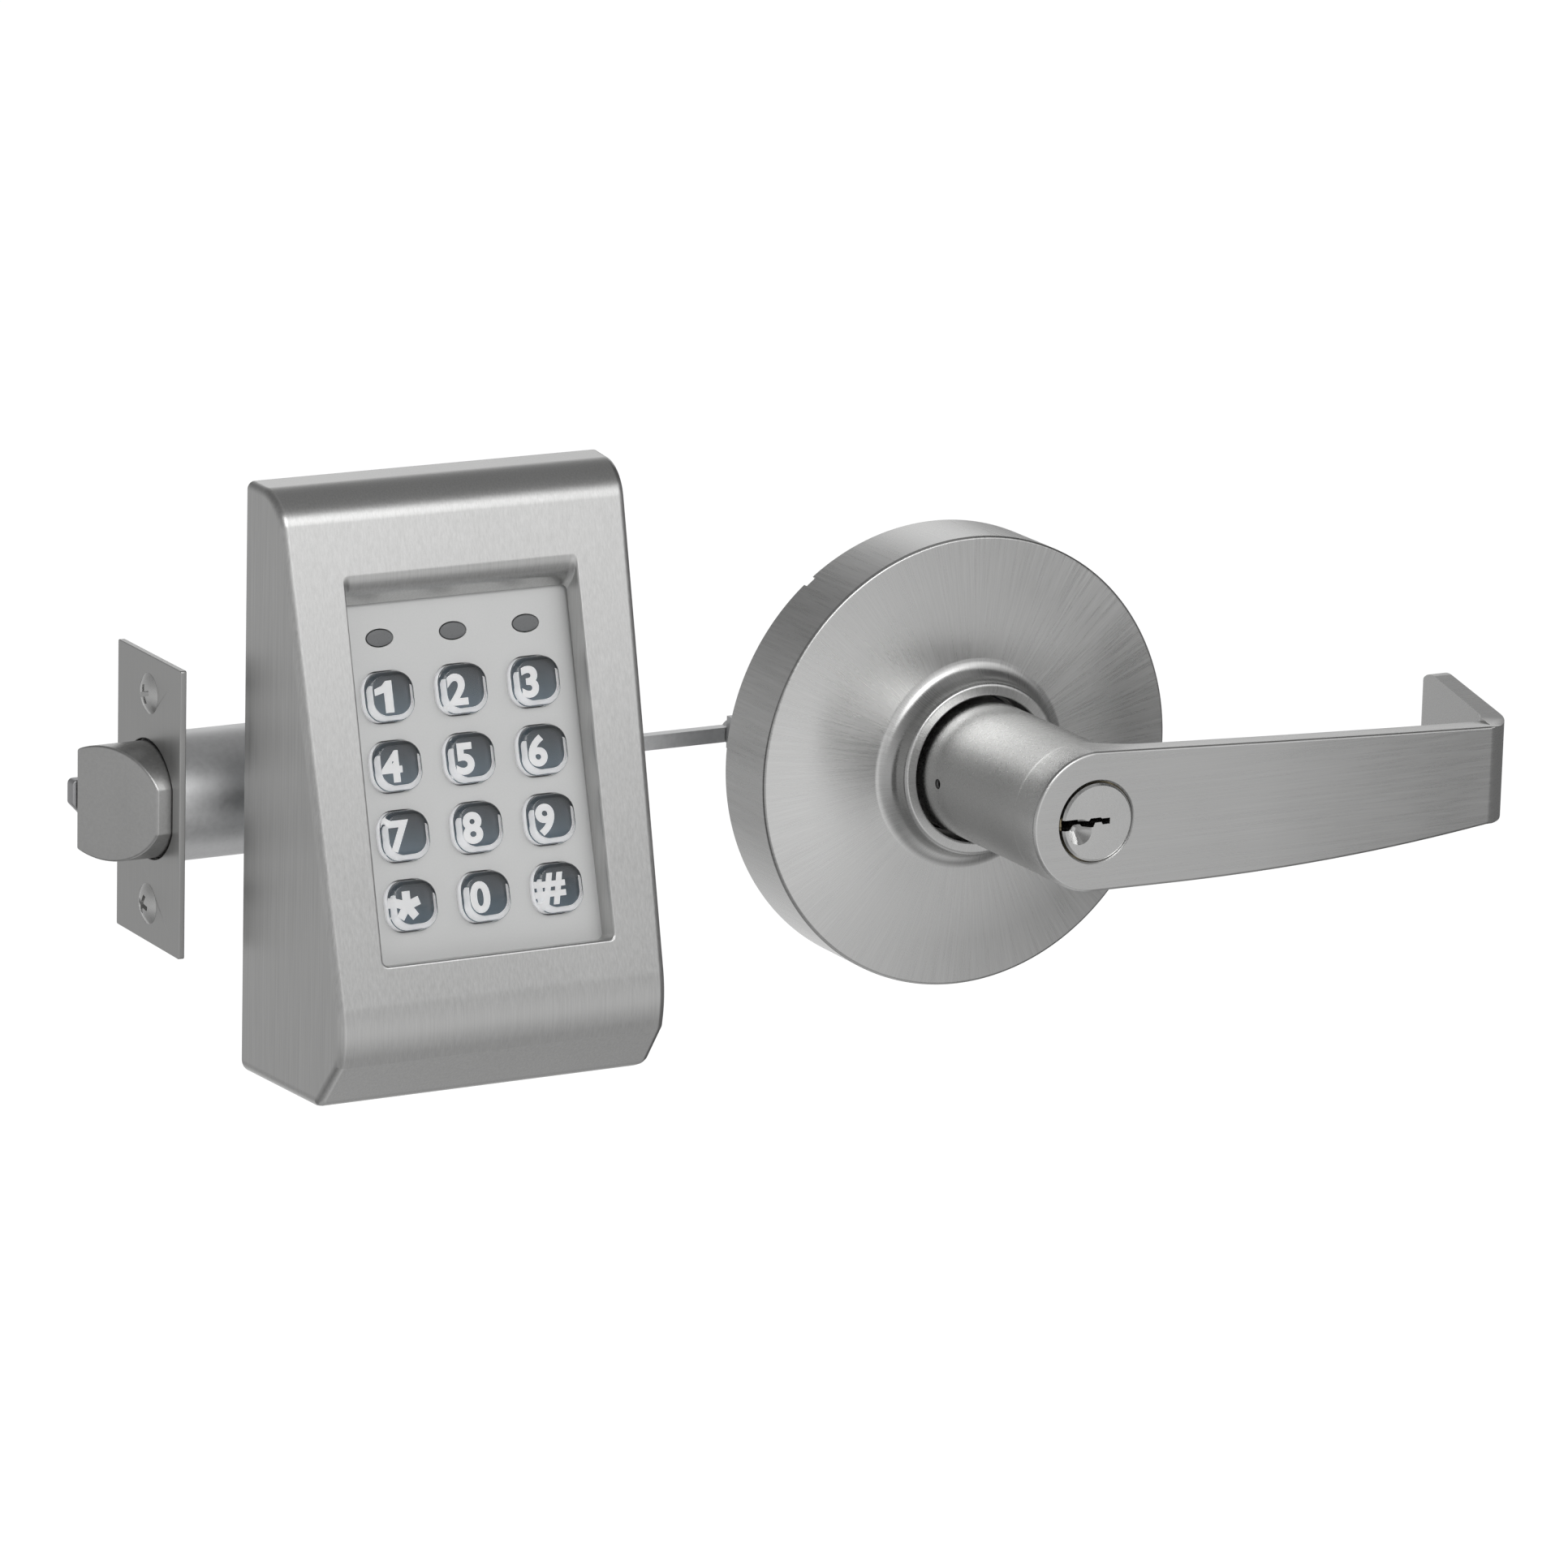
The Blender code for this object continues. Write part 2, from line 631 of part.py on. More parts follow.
def face_point(height, depth):
    """The point at a depth below the sloped face, counted square to the face."""
    tilt = math.atan2(FACE_FOOT[0] - FACE_TOP[0], FACE_TOP[1] - FACE_FOOT[1])
    return face_depth(height) - depth * math.cos(tilt), height - depth * math.sin(tilt)


def housing_outline(inset, back):
    """The housing seen from its right side: distance out of the door, then height."""
    top = KEYPAD_SIZE[1] - inset
    points = [
        (back, inset), (BOTTOM_FRONT - inset / 2, inset), (CREASE[0] - inset, CREASE[1]),
        (face_depth(KNEE) - inset, KNEE), (face_depth(top - 0.8) - inset, top - 0.8), (back, top)]
    return rounded(points, [0, 0, 0, 22.0, 8.5 - inset, 0], 7)


def side_extrusion(name, outline, width):
    """An outline seen from the right side, spread across the housing's width, x along the door."""
    solid = outline_solid(name, outline, -width / 2, width / 2)
    turn_mesh(solid, Matrix(((0, 0, -1, 0), (0, 1, 0, 0), (1, 0, 0, 0), (0, 0, 0, 1))))
    weld(solid.data)
    return solid


def draft_sides(obj, width):
    for vertex in obj.data.vertices:
        vertex.co.x *= 1 - KEYPAD_DRAFT * vertex.co.z / (width / 2 * MM)


def build_housing(keypad, satin):
    width, height = KEYPAD_SIZE
    housing = side_extrusion("keypad_housing", housing_outline(0, -6.0), width)
    draft_sides(housing, width)
    bevel(housing, 1.5, 3)
    cut(housing, box("behind", (-60, -10, -10), (60, 130, 0)))
    wall = KEYPAD_WALL
    cavity = side_extrusion("cavity", housing_outline(wall, -3.0), width - 2 * wall)
    draft_sides(cavity, width)
    surround = side_extrusion(
        "surround",
        [face_point(101.0, 0.5), face_point(97.4, 6.1), face_point(26.4, 4.6), face_point(26.4, 0.5)],
        2 * WINDOW_HALF_WIDTH + 4)
    cut(cavity, surround)
    window = side_extrusion(
        "window",
        [face_point(WINDOW_TOP + 2.4, -4), face_point(WINDOW_TOP - 5.4, 9),
         face_point(WINDOW_FOOT, 9), face_point(WINDOW_FOOT - 0.4, -4)],
        2 * WINDOW_HALF_WIDTH)
    bevel(window, 1.6, 2)
    cut(housing, cavity, window)
    finish(housing, satin, keypad)


def build_back_plate(keypad, steel):
    width, height = KEYPAD_SIZE
    inset = KEYPAD_WALL + 0.8
    low, high = (-width / 2 + inset, inset), (width / 2 - inset, height - inset - 3.0)
    plate = box("keypad_back_plate", (*low, 0.0), (*high, 1.6))
    cut(plate, cylinder("cable_hole", 6.0, -1, 4, centre=(0, 40), sides=32))
    bolts = (("lower", 16.0), ("upper", 98.0))
    for label, y in bolts:
        cut(plate, cylinder("hole", DOOR_SCREW_HOLE, -1, 4, centre=(0, y), sides=20))
        bolt = cylinder("bolt", DOOR_SCREW[0], -22.0, 2.0, sides=20)
        join(bolt, cylinder("head", DOOR_SCREW[1], 1.9, 4.0, sides=24))
        bolt.name = f"keypad_bolt_{label}"
        finish(bolt, steel, keypad, (0, y, 0))
    finish(plate, steel, keypad)


def build_panel(panel, plastic, lens, rubber, board):
    plate = box("keypad_panel", (-26.2, -34.5, -1.8), (26.2, 35.0, 0.0))
    for i in range(12):
        x, y = key_place(i)
        outline = rounded_rectangle(KEY_SIZE[0] + 0.8, KEY_SIZE[1] + 0.8, 3.6, 3)
        hole = outline_solid("hole", outline, -3, 2)
        turn_mesh(hole, Matrix.Translation((x * MM, y * MM, 0)))
        cut(plate, hole)
    for i in range(3):
        x = (i - 1) * KEY_COLUMN
        hole = outline_solid("hole", ellipse(LED_SIZE[0] + 0.6, LED_SIZE[1] + 0.6), -3, 2)
        turn_mesh(hole, Matrix.Translation((x * MM, LED_ROW * MM, 0)))
        cut(plate, hole)
        led = outline_solid(f"led_lens_{i + 1}", ellipse(*LED_SIZE), -2.4, 0.1)
        finish(led, lens, panel, (x, LED_ROW, 0))
    finish(plate, plastic, panel)
    finish(box("key_membrane", (-25, -31, -5.6), (25, 24.5, -4.6)), rubber, panel)
    finish(box("keypad_circuit_board", (-25, -31, -7.5), (25, 31, -5.9)), board, panel)


def key_place(index):
    """Where a key's centre lies on the panel: across, then up the slope."""
    row, column = divmod(index, 3)
    return (column - 1) * KEY_COLUMN, KEY_FIRST_ROW - row * KEY_ROW


def build_keys(panel, cap_material):
    width, height = KEY_SIZE
    for index, label in enumerate(KEY_NAMES):
        cap = outline_solid("cap", rounded_rectangle(width, height, 3.2, 3), -2.6, KEY_PROUD)
        bevel(cap, 0.9, 1, 60)
        flange = outline_solid("flange", rounded_rectangle(width + 1.8, height + 1.8, 3.6, 2), -3.0, -2.2)
        join(cap, flange)
        cap.name = f"key_{label}"
        finish(cap, cap_material, panel, (*key_place(index), 0))


# ---------------------------------------------------------------- assembly

def main():
    clear_scene()
    collection = bpy.data.collections.new(ASSEMBLY)
    bpy.context.scene.collection.children.link(collection)

    satin = make_material("satin_nickel", (0.52, 0.52, 0.51), 0.34, 1.0)
    steel = make_material("plated_steel", (0.60, 0.61, 0.62), 0.38, 1.0)
    spring_steel = make_material("spring_steel", (0.42, 0.42, 0.43), 0.35, 1.0)
    zinc = make_material("cast_zinc", (0.55, 0.55, 0.56), 0.45, 1.0)
    brass = make_material("brass", (0.71, 0.58, 0.30), 0.35, 1.0)
    nylon = make_material("nylon", (0.80, 0.80, 0.77), 0.55, 0.0)
    plastic = make_material("panel_plastic", (0.72, 0.73, 0.74), 0.42, 0.0)
    keycap = make_material("key_plastic", (0.30, 0.36, 0.42), 0.16, 0.0)
    lens = make_material("led_lens", (0.16, 0.17, 0.18), 0.12, 0.0)
    rubber = make_material("silicone", (0.33, 0.33, 0.34), 0.75, 0.0)
    board = make_material("circuit_board", (0.04, 0.20, 0.09), 0.50, 0.0)

    square = math.pi / 2
    door = frame("door_frame", (0, 0, 0), (square, 0, 0))
    latch = frame("latch_frame", (-BACKSET, LATCH_DEPTH, 0), (0, -square, 0))
    middle = KEYPAD_LEFT + KEYPAD_SIZE[0] / 2
    keypad = frame("keypad_frame", (middle, KEYPAD_BOTTOM, 0), (0, 0, 0), door)
    panel = frame("panel_frame", (0, PANEL_CENTRE[1], PANEL_CENTRE[0]), (-PANEL_TILT, 0, 0), keypad)

    build_rose(door, satin)
    build_bearing(door, nylon)
    build_mounting_plate(door, steel)
    build_mounting_posts(door, steel)
    build_chassis(door, steel)
    build_spindle(door, steel)
    build_crank(door, steel)
    build_retractor(door, steel)
    build_link(door, steel)
    build_return_spring(door, spring_steel)
    build_driver(door, steel)
    build_lock_drive(door, steel, brass, nylon)
    build_lever(door, satin)
    build_cylinder(door, brass, satin, steel)
    build_lever_catch(door, steel)
    build_latch(latch, satin, steel, spring_steel, zinc)
    build_housing(keypad, satin)
    build_back_plate(keypad, steel)
    build_panel(panel, plastic, lens, rubber, board)
    build_keys(panel, keycap)


main()
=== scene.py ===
"""Looks of the keypad smart lock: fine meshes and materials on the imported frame.

Shapes are made in millimetres in the frame of their group (x right, y up, z out of the surface) and
are then set in place in the row frame, which is in metres.
"""

import json
import math

import bmesh
import bpy
from mathutils import Matrix, Vector


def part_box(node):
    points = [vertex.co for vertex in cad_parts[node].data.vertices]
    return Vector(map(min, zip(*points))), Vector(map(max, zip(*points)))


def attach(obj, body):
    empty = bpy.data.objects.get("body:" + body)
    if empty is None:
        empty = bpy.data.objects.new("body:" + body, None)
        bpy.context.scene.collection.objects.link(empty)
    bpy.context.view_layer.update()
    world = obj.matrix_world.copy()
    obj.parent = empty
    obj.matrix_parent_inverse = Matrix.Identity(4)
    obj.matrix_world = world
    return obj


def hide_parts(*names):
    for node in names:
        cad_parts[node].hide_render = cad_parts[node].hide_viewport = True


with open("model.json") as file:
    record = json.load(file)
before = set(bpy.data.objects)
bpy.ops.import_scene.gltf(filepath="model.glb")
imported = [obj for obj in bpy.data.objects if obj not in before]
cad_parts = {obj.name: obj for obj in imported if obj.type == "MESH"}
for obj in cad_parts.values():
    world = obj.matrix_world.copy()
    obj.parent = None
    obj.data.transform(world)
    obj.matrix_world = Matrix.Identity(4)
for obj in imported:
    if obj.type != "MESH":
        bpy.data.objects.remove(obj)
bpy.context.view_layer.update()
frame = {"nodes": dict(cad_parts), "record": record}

MM = 0.001
SQUARE = math.pi / 2
AXIS_RADIUS = 0.001              # profiles start this far, in mm, from the axis they turn about

# ---------------------------------------------------------------- sizes from the frame, in mm


def mm_box(node):
    low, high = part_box(node)
    return low / MM, high / MM


ROSE_LOW, ROSE_HIGH = mm_box("rose")
ROSE_RADIUS = ROSE_HIGH.x
COLLAR_TOP = -ROSE_LOW.y
HOUSING_LOW, HOUSING_HIGH = mm_box("keypad_housing")
KEYPAD_WIDTH = HOUSING_HIGH.x - HOUSING_LOW.x
KEYPAD_HEIGHT = HOUSING_HIGH.z - HOUSING_LOW.z
LEVER_LOW, LEVER_HIGH = mm_box("lever_handle")
LEVER_FACE = -LEVER_LOW.y
PADDLE_END = LEVER_HIGH.x - 0.7
PLATE_LOW, PLATE_HIGH = mm_box("faceplate")
BACKSET = -PLATE_LOW.x
LATCH_DEPTH = (PLATE_LOW.y + PLATE_HIGH.y) / 2
BOLT_THROW = -mm_box("latch_bolt")[0].x - BACKSET

# Shape constants that the boxes don't hold, in mm
ROSE_RIM = 15.5
ROSE_WALL = 1.8
COLLAR_HOLE = 14.8
ROSE_NOTCH_TURN = math.radians(38)
MOUNTING_PLATE_RADIUS = 43.4
MOUNTING_SCREW = 20.6
CHASSIS_RADIUS = 26.6
CHASSIS_WALL = 1.3
CHASSIS_BACK = -29.0
COVER_FACE = -30.9
DIMPLE_CIRCLE = 21.0
DIMPLE_RADIUS = 1.4
STEM_RADIUS = 14.0
PADDLE_THICKNESS = 4.5
RETURN_TIP = 35.0
LEVER_BORE = 11.6
STEM_FLARE = 4.0
PLUG_RADIUS = 7.8
PLUG_GAP = 0.3
PLUG_BODY_RADIUS = 6.3
PLUG_BACK = 37.4
PLUG_HEAD = 64.1
PINHOLE_OUT = 28.5
SPINDLE_CLEARANCE = 8.8
FACEPLATE_SCREW = 20.95
FACEPLATE_SCREW_RADIUS = 1.9
FACEPLATE_SCREW_END = -7.0
FACEPLATE_SCREW_TURN = math.radians(18)
KEYPAD_BOLT_RADIUS = 2.5
KEYPAD_BOLT_END = -22.0
THREAD_DEPTH = 0.35
THREAD_PITCH = 0.8
BOLT_RADIUS = 11.4
BOLT_FLAT = 10.6
BOLT_FAR_FLAT = 5.5
OPENING_RADIUS = 11.8
OPENING_FLATS = (11.0, 8.7)
PLUNGER_SIDES = (5.8, 8.3)
PLUNGER_HEEL = -15.0
KEYPAD_WALL = 2.0
KEYPAD_DRAFT = 0.07
FACE_TOP = (13.2, 109.8)
FACE_FOOT = (37.0, 20.4)
KNEE = 17.0
CREASE = (36.5, 10.2)
BOTTOM_FRONT = 28.2
WINDOW_HALF_WIDTH = 24.6
WINDOW_TOP = 98.2
WINDOW_FOOT = 28.8
PANEL_SIZE = (52.4, 69.5)
PANEL_OUT = 20.6
PANEL_UP = 60.0
PANEL_TILT = math.radians(16.2)
KEY_SIZE = (10.1, 9.6)
KEY_COLUMN = 15.6
KEY_ROW = 13.3
KEY_FIRST_ROW = 16.9
KEY_PROUD = 2.6
KEY_OPENING_GAP = 0.5
LED_ROW = 28.2
LED_SIZE = (5.5, 3.2)
LED_OPENING_GAP = 0.35
KEYS = ("1", "2", "3", "4", "5", "6", "7", "8", "9", "star", "0", "hash")
FIGURES = {"star": "*", "hash": "#"}
FIGURE_TYPE_SIZE = 9.5           # before the figure is brought to its height
FIGURE_HEIGHT = 6.1
STAR_HEIGHT = 5.6
FIGURE_THICKNESS = 0.12
FIGURE_WEIGHT = 0.36
FIGURE_WIDTH = 1.04
FIGURE_SHIFT = -0.95
ONE = ((0.02, -0.5), (0.31, -0.5), (0.31, 0.5), (0.10, 0.5), (-0.04, 0.36), (-0.30, 0.27),
       (-0.30, 0.06), (0.02, 0.14))
INSERT_TOP = 0.1
# The white base is the key's own colour; its wider rim at the left and at the bottom is a painted
# highlight for the caps' lit sides.
INSERT_SHIFT = (0.85, 0.45)      # leaves a wider pale rim at the left and at the bottom

DOOR = Matrix.Rotation(SQUARE, 4, "X")
LATCH = Matrix.Translation((-BACKSET * MM, LATCH_DEPTH * MM, 0)) @ Matrix.Rotation(-SQUARE, 4, "Y")
KEYPAD = DOOR @ Matrix.Translation(
    ((HOUSING_LOW.x + HOUSING_HIGH.x) / 2 * MM, HOUSING_LOW.z * MM, 0))
PANEL = KEYPAD @ Matrix.Translation((0, PANEL_UP * MM, PANEL_OUT * MM)) @ Matrix.Rotation(
    -PANEL_TILT, 4, "X")


# ---------------------------------------------------------------- shaping tools

def link(name, data):
    obj = bpy.data.objects.new(name, data)
    bpy.context.scene.collection.objects.link(obj)
    return obj


def mesh_from(build, name):
    bm = bmesh.new()
    build(bm)
    bmesh.ops.scale(bm, vec=(MM, MM, MM), verts=bm.verts)
    mesh = bpy.data.meshes.new(name)
    bm.to_mesh(mesh)
    bm.free()
    return link(name, mesh)


def box(name, low, high):
    size = Vector(high) - Vector(low)
    middle = (Vector(high) + Vector(low)) / 2
    matrix = Matrix.Translation(middle) @ Matrix.Diagonal((*size, 1.0))
    return mesh_from(lambda bm: bmesh.ops.create_cube(bm, size=1.0, matrix=matrix), name)


def cylinder(name, radius, low, high, centre=(0.0, 0.0), sides=96, top_radius=None):
    matrix = Matrix.Translation((centre[0], centre[1], (low + high) / 2))
    top = radius if top_radius is None else top_radius
    return mesh_from(
        lambda bm: bmesh.ops.create_cone(
            bm, cap_ends=True, segments=sides, radius1=radius, radius2=top,
            depth=high - low, matrix=matrix),
        name)


def apply_modifiers(obj):
    depsgraph = bpy.context.evaluated_depsgraph_get()
    mesh = bpy.data.meshes.new_from_object(obj.evaluated_get(depsgraph))
    obj.modifiers.clear()
    obj.data = mesh
    return obj


def combine(obj, others, operation):
    for other in others:
        modifier = obj.modifiers.new(operation.lower(), "BOOLEAN")
        modifier.operation = operation
        modifier.solver = "EXACT"
        modifier.object = other
        apply_modifiers(obj)
        bpy.data.objects.remove(other, do_unlink=True)
    return obj


def cut(obj, *cutters):
    return combine(obj, cutters, "DIFFERENCE")


def join(obj, *others):
    return combine(obj, others, "UNION")


def common(obj, *others):
    return combine(obj, others, "INTERSECT")


def turn_mesh(obj, matrix):
    """Moves the mesh itself, and keeps its faces outward when the matrix mirrors it."""
    obj.data.transform(matrix)
    if matrix.is_negative:
        obj.data.flip_normals()
    return obj


def axes(x, y, z):
    """The matrix that sends the local axes to the given directions."""
    return Matrix((x, y, z)).transposed().to_4x4()


def weld(mesh):
    bm = bmesh.new()
    bm.from_mesh(mesh)
    bmesh.ops.remove_doubles(bm, verts=bm.verts, dist=1e-6)
    bmesh.ops.recalc_face_normals(bm, faces=bm.faces)
    bm.to_mesh(mesh)
    bm.free()


def curve_to_mesh(name, curve):
    holder = link(name + "_curve", curve)
    depsgraph = bpy.context.evaluated_depsgraph_get()
    mesh = bpy.data.meshes.new_from_object(holder.evaluated_get(depsgraph))
    bpy.data.objects.remove(holder, do_unlink=True)
    weld(mesh)
    return link(name, mesh)


def outline_solid(name, outlines, low, high, edge=0.0):
    """Flat outlines, the first around the others, filled from z = low to z = high.

    The edges are rounded by the given amount.
    """
    curve = bpy.data.curves.new(name, "CURVE")
    curve.dimensions = "2D"
    curve.fill_mode = "BOTH"
    curve.extrude = ((high - low) / 2 - edge) * MM
    curve.bevel_depth = edge * MM
    curve.bevel_resolution = 3
    curve.offset = -edge * MM
    for points in outlines:
        spline = curve.splines.new("POLY")
        spline.points.add(len(points) - 1)
        for point, (x, y) in zip(spline.points, points):
            point.co = (x * MM, y * MM, 0.0, 1.0)
        spline.use_cyclic_u = True
    obj = curve_to_mesh(name, curve)
    return turn_mesh(obj, Matrix.Translation((0, 0, (low + high) / 2 * MM)))


def turned(name, profile, steps=160):
    """A ring turned about z from a closed profile of (radius, height) points."""
    mesh = bpy.data.meshes.new(name)
    bm = bmesh.new()
    verts = [bm.verts.new((r * MM, 0, z * MM)) for r, z in profile]
    for i, vert in enumerate(verts):
        bm.edges.new((vert, verts[(i + 1) % len(verts)]))
    bm.to_mesh(mesh)
    bm.free()
    obj = link(name, mesh)
    screw = obj.modifiers.new("turn", "SCREW")
    screw.axis = "Z"
    screw.steps = screw.render_steps = steps
    screw.use_merge_vertices = True
    screw.merge_threshold = 1e-5
    apply_modifiers(obj)
    weld(obj.data)
    return obj


def loft(name, loops):
    """A closed solid through loops of points, all with the same number of points."""
    def build(bm):
        rings = [[bm.verts.new(point) for point in loop] for loop in loops]
        for near, far in zip(rings, rings[1:]):
            for i in range(len(near)):
                k = (i + 1) % len(near)
                bm.faces.new((near[i], near[k], far[k], far[i]))
        bm.faces.new(list(reversed(rings[0])))
        bm.faces.new(rings[-1])
        bmesh.ops.recalc_face_normals(bm, faces=bm.faces)
    return mesh_from(build, name)


def dissolve_flat(mesh):
    """Makes one face of each flat area, so that a bevel has room there."""
    bm = bmesh.new()
    bm.from_mesh(mesh)
    bmesh.ops.dissolve_limit(bm, angle_limit=math.radians(0.05), verts=bm.verts, edges=bm.edges)
    bm.to_mesh(mesh)
    bm.free()


def bevel(obj, width, segments=3, angle=35, share=None):
    """Rounds the sharp edges, each by its share(a, b) of the width, given the edge's ends in mm."""
    dissolve_flat(obj.data)
    modifier = obj.modifiers.new("bevel", "BEVEL")
    modifier.width = width * MM
    modifier.segments = segments
    modifier.limit_method = "ANGLE"
    modifier.angle_limit = math.radians(angle)
    modifier.use_clamp_overlap = False
    if share:
        modifier.limit_method = "WEIGHT"
        bm = bmesh.new()
        bm.from_mesh(obj.data)
        layer = bm.edges.layers.float.new("bevel_weight_edge")
        for edge in bm.edges:
            a, b = (vert.co / MM for vert in edge.verts)
            sharp = len(edge.link_faces) == 2 and edge.calc_face_angle(0) > math.radians(angle)
            edge[layer] = share(a, b) if sharp else 0.0
        bm.to_mesh(obj.data)
        bm.free()
    return apply_modifiers(obj)


def rounded(points, radii, steps=12):
    """The outline through the points with each corner turned into an arc of its own radius."""
    result = []
    count = len(points)
    for i, radius in enumerate(radii):
        here = Vector(points[i])
        before = (Vector(points[i - 1]) - here).normalized()
        after = (Vector(points[(i + 1) % count]) - here).normalized()
        if radius == 0:
            result.append(tuple(here))
            continue
        half = before.angle(after) / 2
        centre = here + (before + after).normalized() * radius / math.sin(half)
        start = here + before * radius / math.tan(half) - centre
        end = here + after * radius / math.tan(half) - centre
        sweep = start.angle_signed(end)
        for k in range(steps + 1):
            turn = Matrix.Rotation(-sweep * k / steps, 2)
            result.append(tuple(centre + turn @ start))
    return result


def rounded_rectangle(width, height, radius, steps=10, centre=(0, 0)):
    x, y = width / 2, height / 2
    outline = rounded([(-x, -y), (x, -y), (x, y), (-x, y)], [radius] * 4, steps)
    return [(a + centre[0], b + centre[1]) for a, b in outline]


def ellipse(width, height, centre=(0, 0), sides=48):
    angles = [2 * math.pi * i / sides for i in range(sides)]
    return [(centre[0] + width / 2 * math.cos(a), centre[1] + height / 2 * math.sin(a))
            for a in angles]


def arc(centre, radius, start, end, steps=8):
    """Points on an arc, with angles in degrees."""
    angles = [math.radians(start + (end - start) * i / steps) for i in range(steps + 1)]
    return [(centre[0] + radius * math.cos(a), centre[1] + radius * math.sin(a)) for a in angles]


def flat_sided_circle(radius, near_flat, far_flat, steps=40):
    """A circle cut off at y = -near_flat and y = far_flat."""
    low = math.asin(-near_flat / radius)
    high = math.asin(far_flat / radius)
    right = [low + (high - low) * i / steps for i in range(steps + 1)]
    left = [math.pi - angle for angle in reversed(right)]
    return [(radius * math.cos(a), radius * math.sin(a)) for a in right + left]


def piece(obj, name, place, body, material, nodes=(), smooth=35):
    """Sets a finished shape in place: it rides on a body and stands for the CAD nodes.

    Edges sharper than the smooth angle, in degrees, stay sharp.
    """
    obj.name = name
    obj.data.materials.clear()
    obj.data.materials.append(material)
    obj.data.shade_smooth()
    obj.data.set_sharp_from_angle(angle=math.radians(smooth))
    weighted = obj.modifiers.new("normals", "WEIGHTED_NORMAL")
    weighted.keep_sharp = True
    apply_modifiers(obj)
    obj.matrix_world = place
    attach(obj, body)
    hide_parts(*nodes)
    return obj


# ---------------------------------------------------------------- materials

class Material:
    """A node material built from a Principled shader and a few texture helpers."""

    def __init__(self, name, **sockets):
        self.material = bpy.data.materials.new(name)
        self.material.use_nodes = True
        self.tree = self.material.node_tree
        self.shader = self.tree.nodes["Principled BSDF"]
        for socket, value in sockets.items():
            self.shader.inputs[socket.replace("_", " ")].default_value = value

    def node(self, kind, inputs=(), **settings):
        made = self.tree.nodes.new(kind)
        for key, value in settings.items():
            setattr(made, key, value)
        for index, value in dict(inputs).items():
            if isinstance(value, bpy.types.NodeSocket):
                self.tree.links.new(value, made.inputs[index])
            else:
                made.inputs[index].default_value = value
        return made

    def math(self, operation, *values):
        return self.node("ShaderNodeMath", dict(enumerate(values)), operation=operation).outputs[0]

    def position(self, scale):
        """The place on the piece, stretched by a scale for each axis."""
        place = self.node("ShaderNodeTexCoord").outputs["Object"]
        return self.node("ShaderNodeVectorMath", {0: place, 1: scale},
                         operation="MULTIPLY").outputs[0]

    def polar(self, turn_scale, radius_scale, height_scale):
        """Angle, radius and height about the piece's z axis, each with its own scale."""
        place = self.node("ShaderNodeTexCoord").outputs["Object"]
        parts = self.node("ShaderNodeSeparateXYZ", {0: place}).outputs
        angle = self.math("ARCTAN2", parts[1], parts[0])
        flat = self.node("ShaderNodeVectorMath", {0: place, 1: (1, 1, 0)},
                         operation="MULTIPLY").outputs[0]
        radius = self.node("ShaderNodeVectorMath", {0: flat}, operation="LENGTH").outputs["Value"]
        return self.node("ShaderNodeCombineXYZ", {
            0: self.math("MULTIPLY", angle, turn_scale),
            1: self.math("MULTIPLY", radius, radius_scale),
            2: self.math("MULTIPLY", parts[2], height_scale)}).outputs[0]

    def noise(self, vector, detail=3.0, roughness=0.6):
        made = self.node("ShaderNodeTexNoise", {"Vector": vector, "Scale": 1.0, "Detail": detail,
                                                "Roughness": roughness})
        return made.outputs["Fac"]

    def spread(self, value, low, high):
        """A 0 to 1 texture value spread between two numbers."""
        return self.node("ShaderNodeMapRange",
                         {0: value, 1: 0.25, 2: 0.75, 3: low, 4: high}).outputs[0]

    def tint(self, colour, *values):
        """The colour multiplied by each of the values."""
        result = self.node("ShaderNodeRGB").outputs[0]
        result.default_value = (*colour, 1.0)
        for value in values:
            grey = self.node("ShaderNodeCombineColor", {0: value, 1: value, 2: value}).outputs[0]
            result = self.node("ShaderNodeMix", {0: 1.0, 6: result, 7: grey}, data_type="RGBA",
                               blend_type="MULTIPLY").outputs[2]
        return result

    def wire(self, socket, value):
        self.tree.links.new(value, self.shader.inputs[socket])

    def bump(self, height, strength, distance):
        made = self.node("ShaderNodeBump",
                         {"Strength": strength, "Distance": distance, "Height": height})
        self.wire("Normal", made.outputs[0])


def brushed(name, colour, roughness, grain, contrast, anisotropy, across=None):
    """Metal with long fine scratches; grain is how often they change along each axis, per metre.

    across is the direction square to the scratches. Without one they run out from the z axis, and
    grain is for the turn about it, the radius and the height.
    """
    metal = Material(name, Metallic=1.0, Anisotropic=anisotropy)
    if across:
        place = metal.position(grain)
        tangent = metal.node("ShaderNodeCombineXYZ", dict(enumerate(across)))
    else:
        place = metal.polar(*grain)
        tangent = metal.node("ShaderNodeTangent", direction_type="RADIAL", axis="Z")
    lines = metal.noise(place, 4.0, 0.7)
    clouds = metal.noise(metal.position((38.0, 38.0, 38.0)), 2.0, 0.5)
    metal.wire("Base Color", metal.tint(
        colour, metal.spread(lines, 1 - contrast, 1 + contrast), metal.spread(clouds, 0.97, 1.03)))
    metal.wire("Roughness", metal.math(
        "ADD", metal.spread(lines, roughness - 0.05, roughness + 0.05),
        metal.spread(clouds, -0.015, 0.015)))
    metal.bump(lines, 0.12, 0.00004)
    metal.wire("Tangent", tangent.outputs[0])
    return metal.material


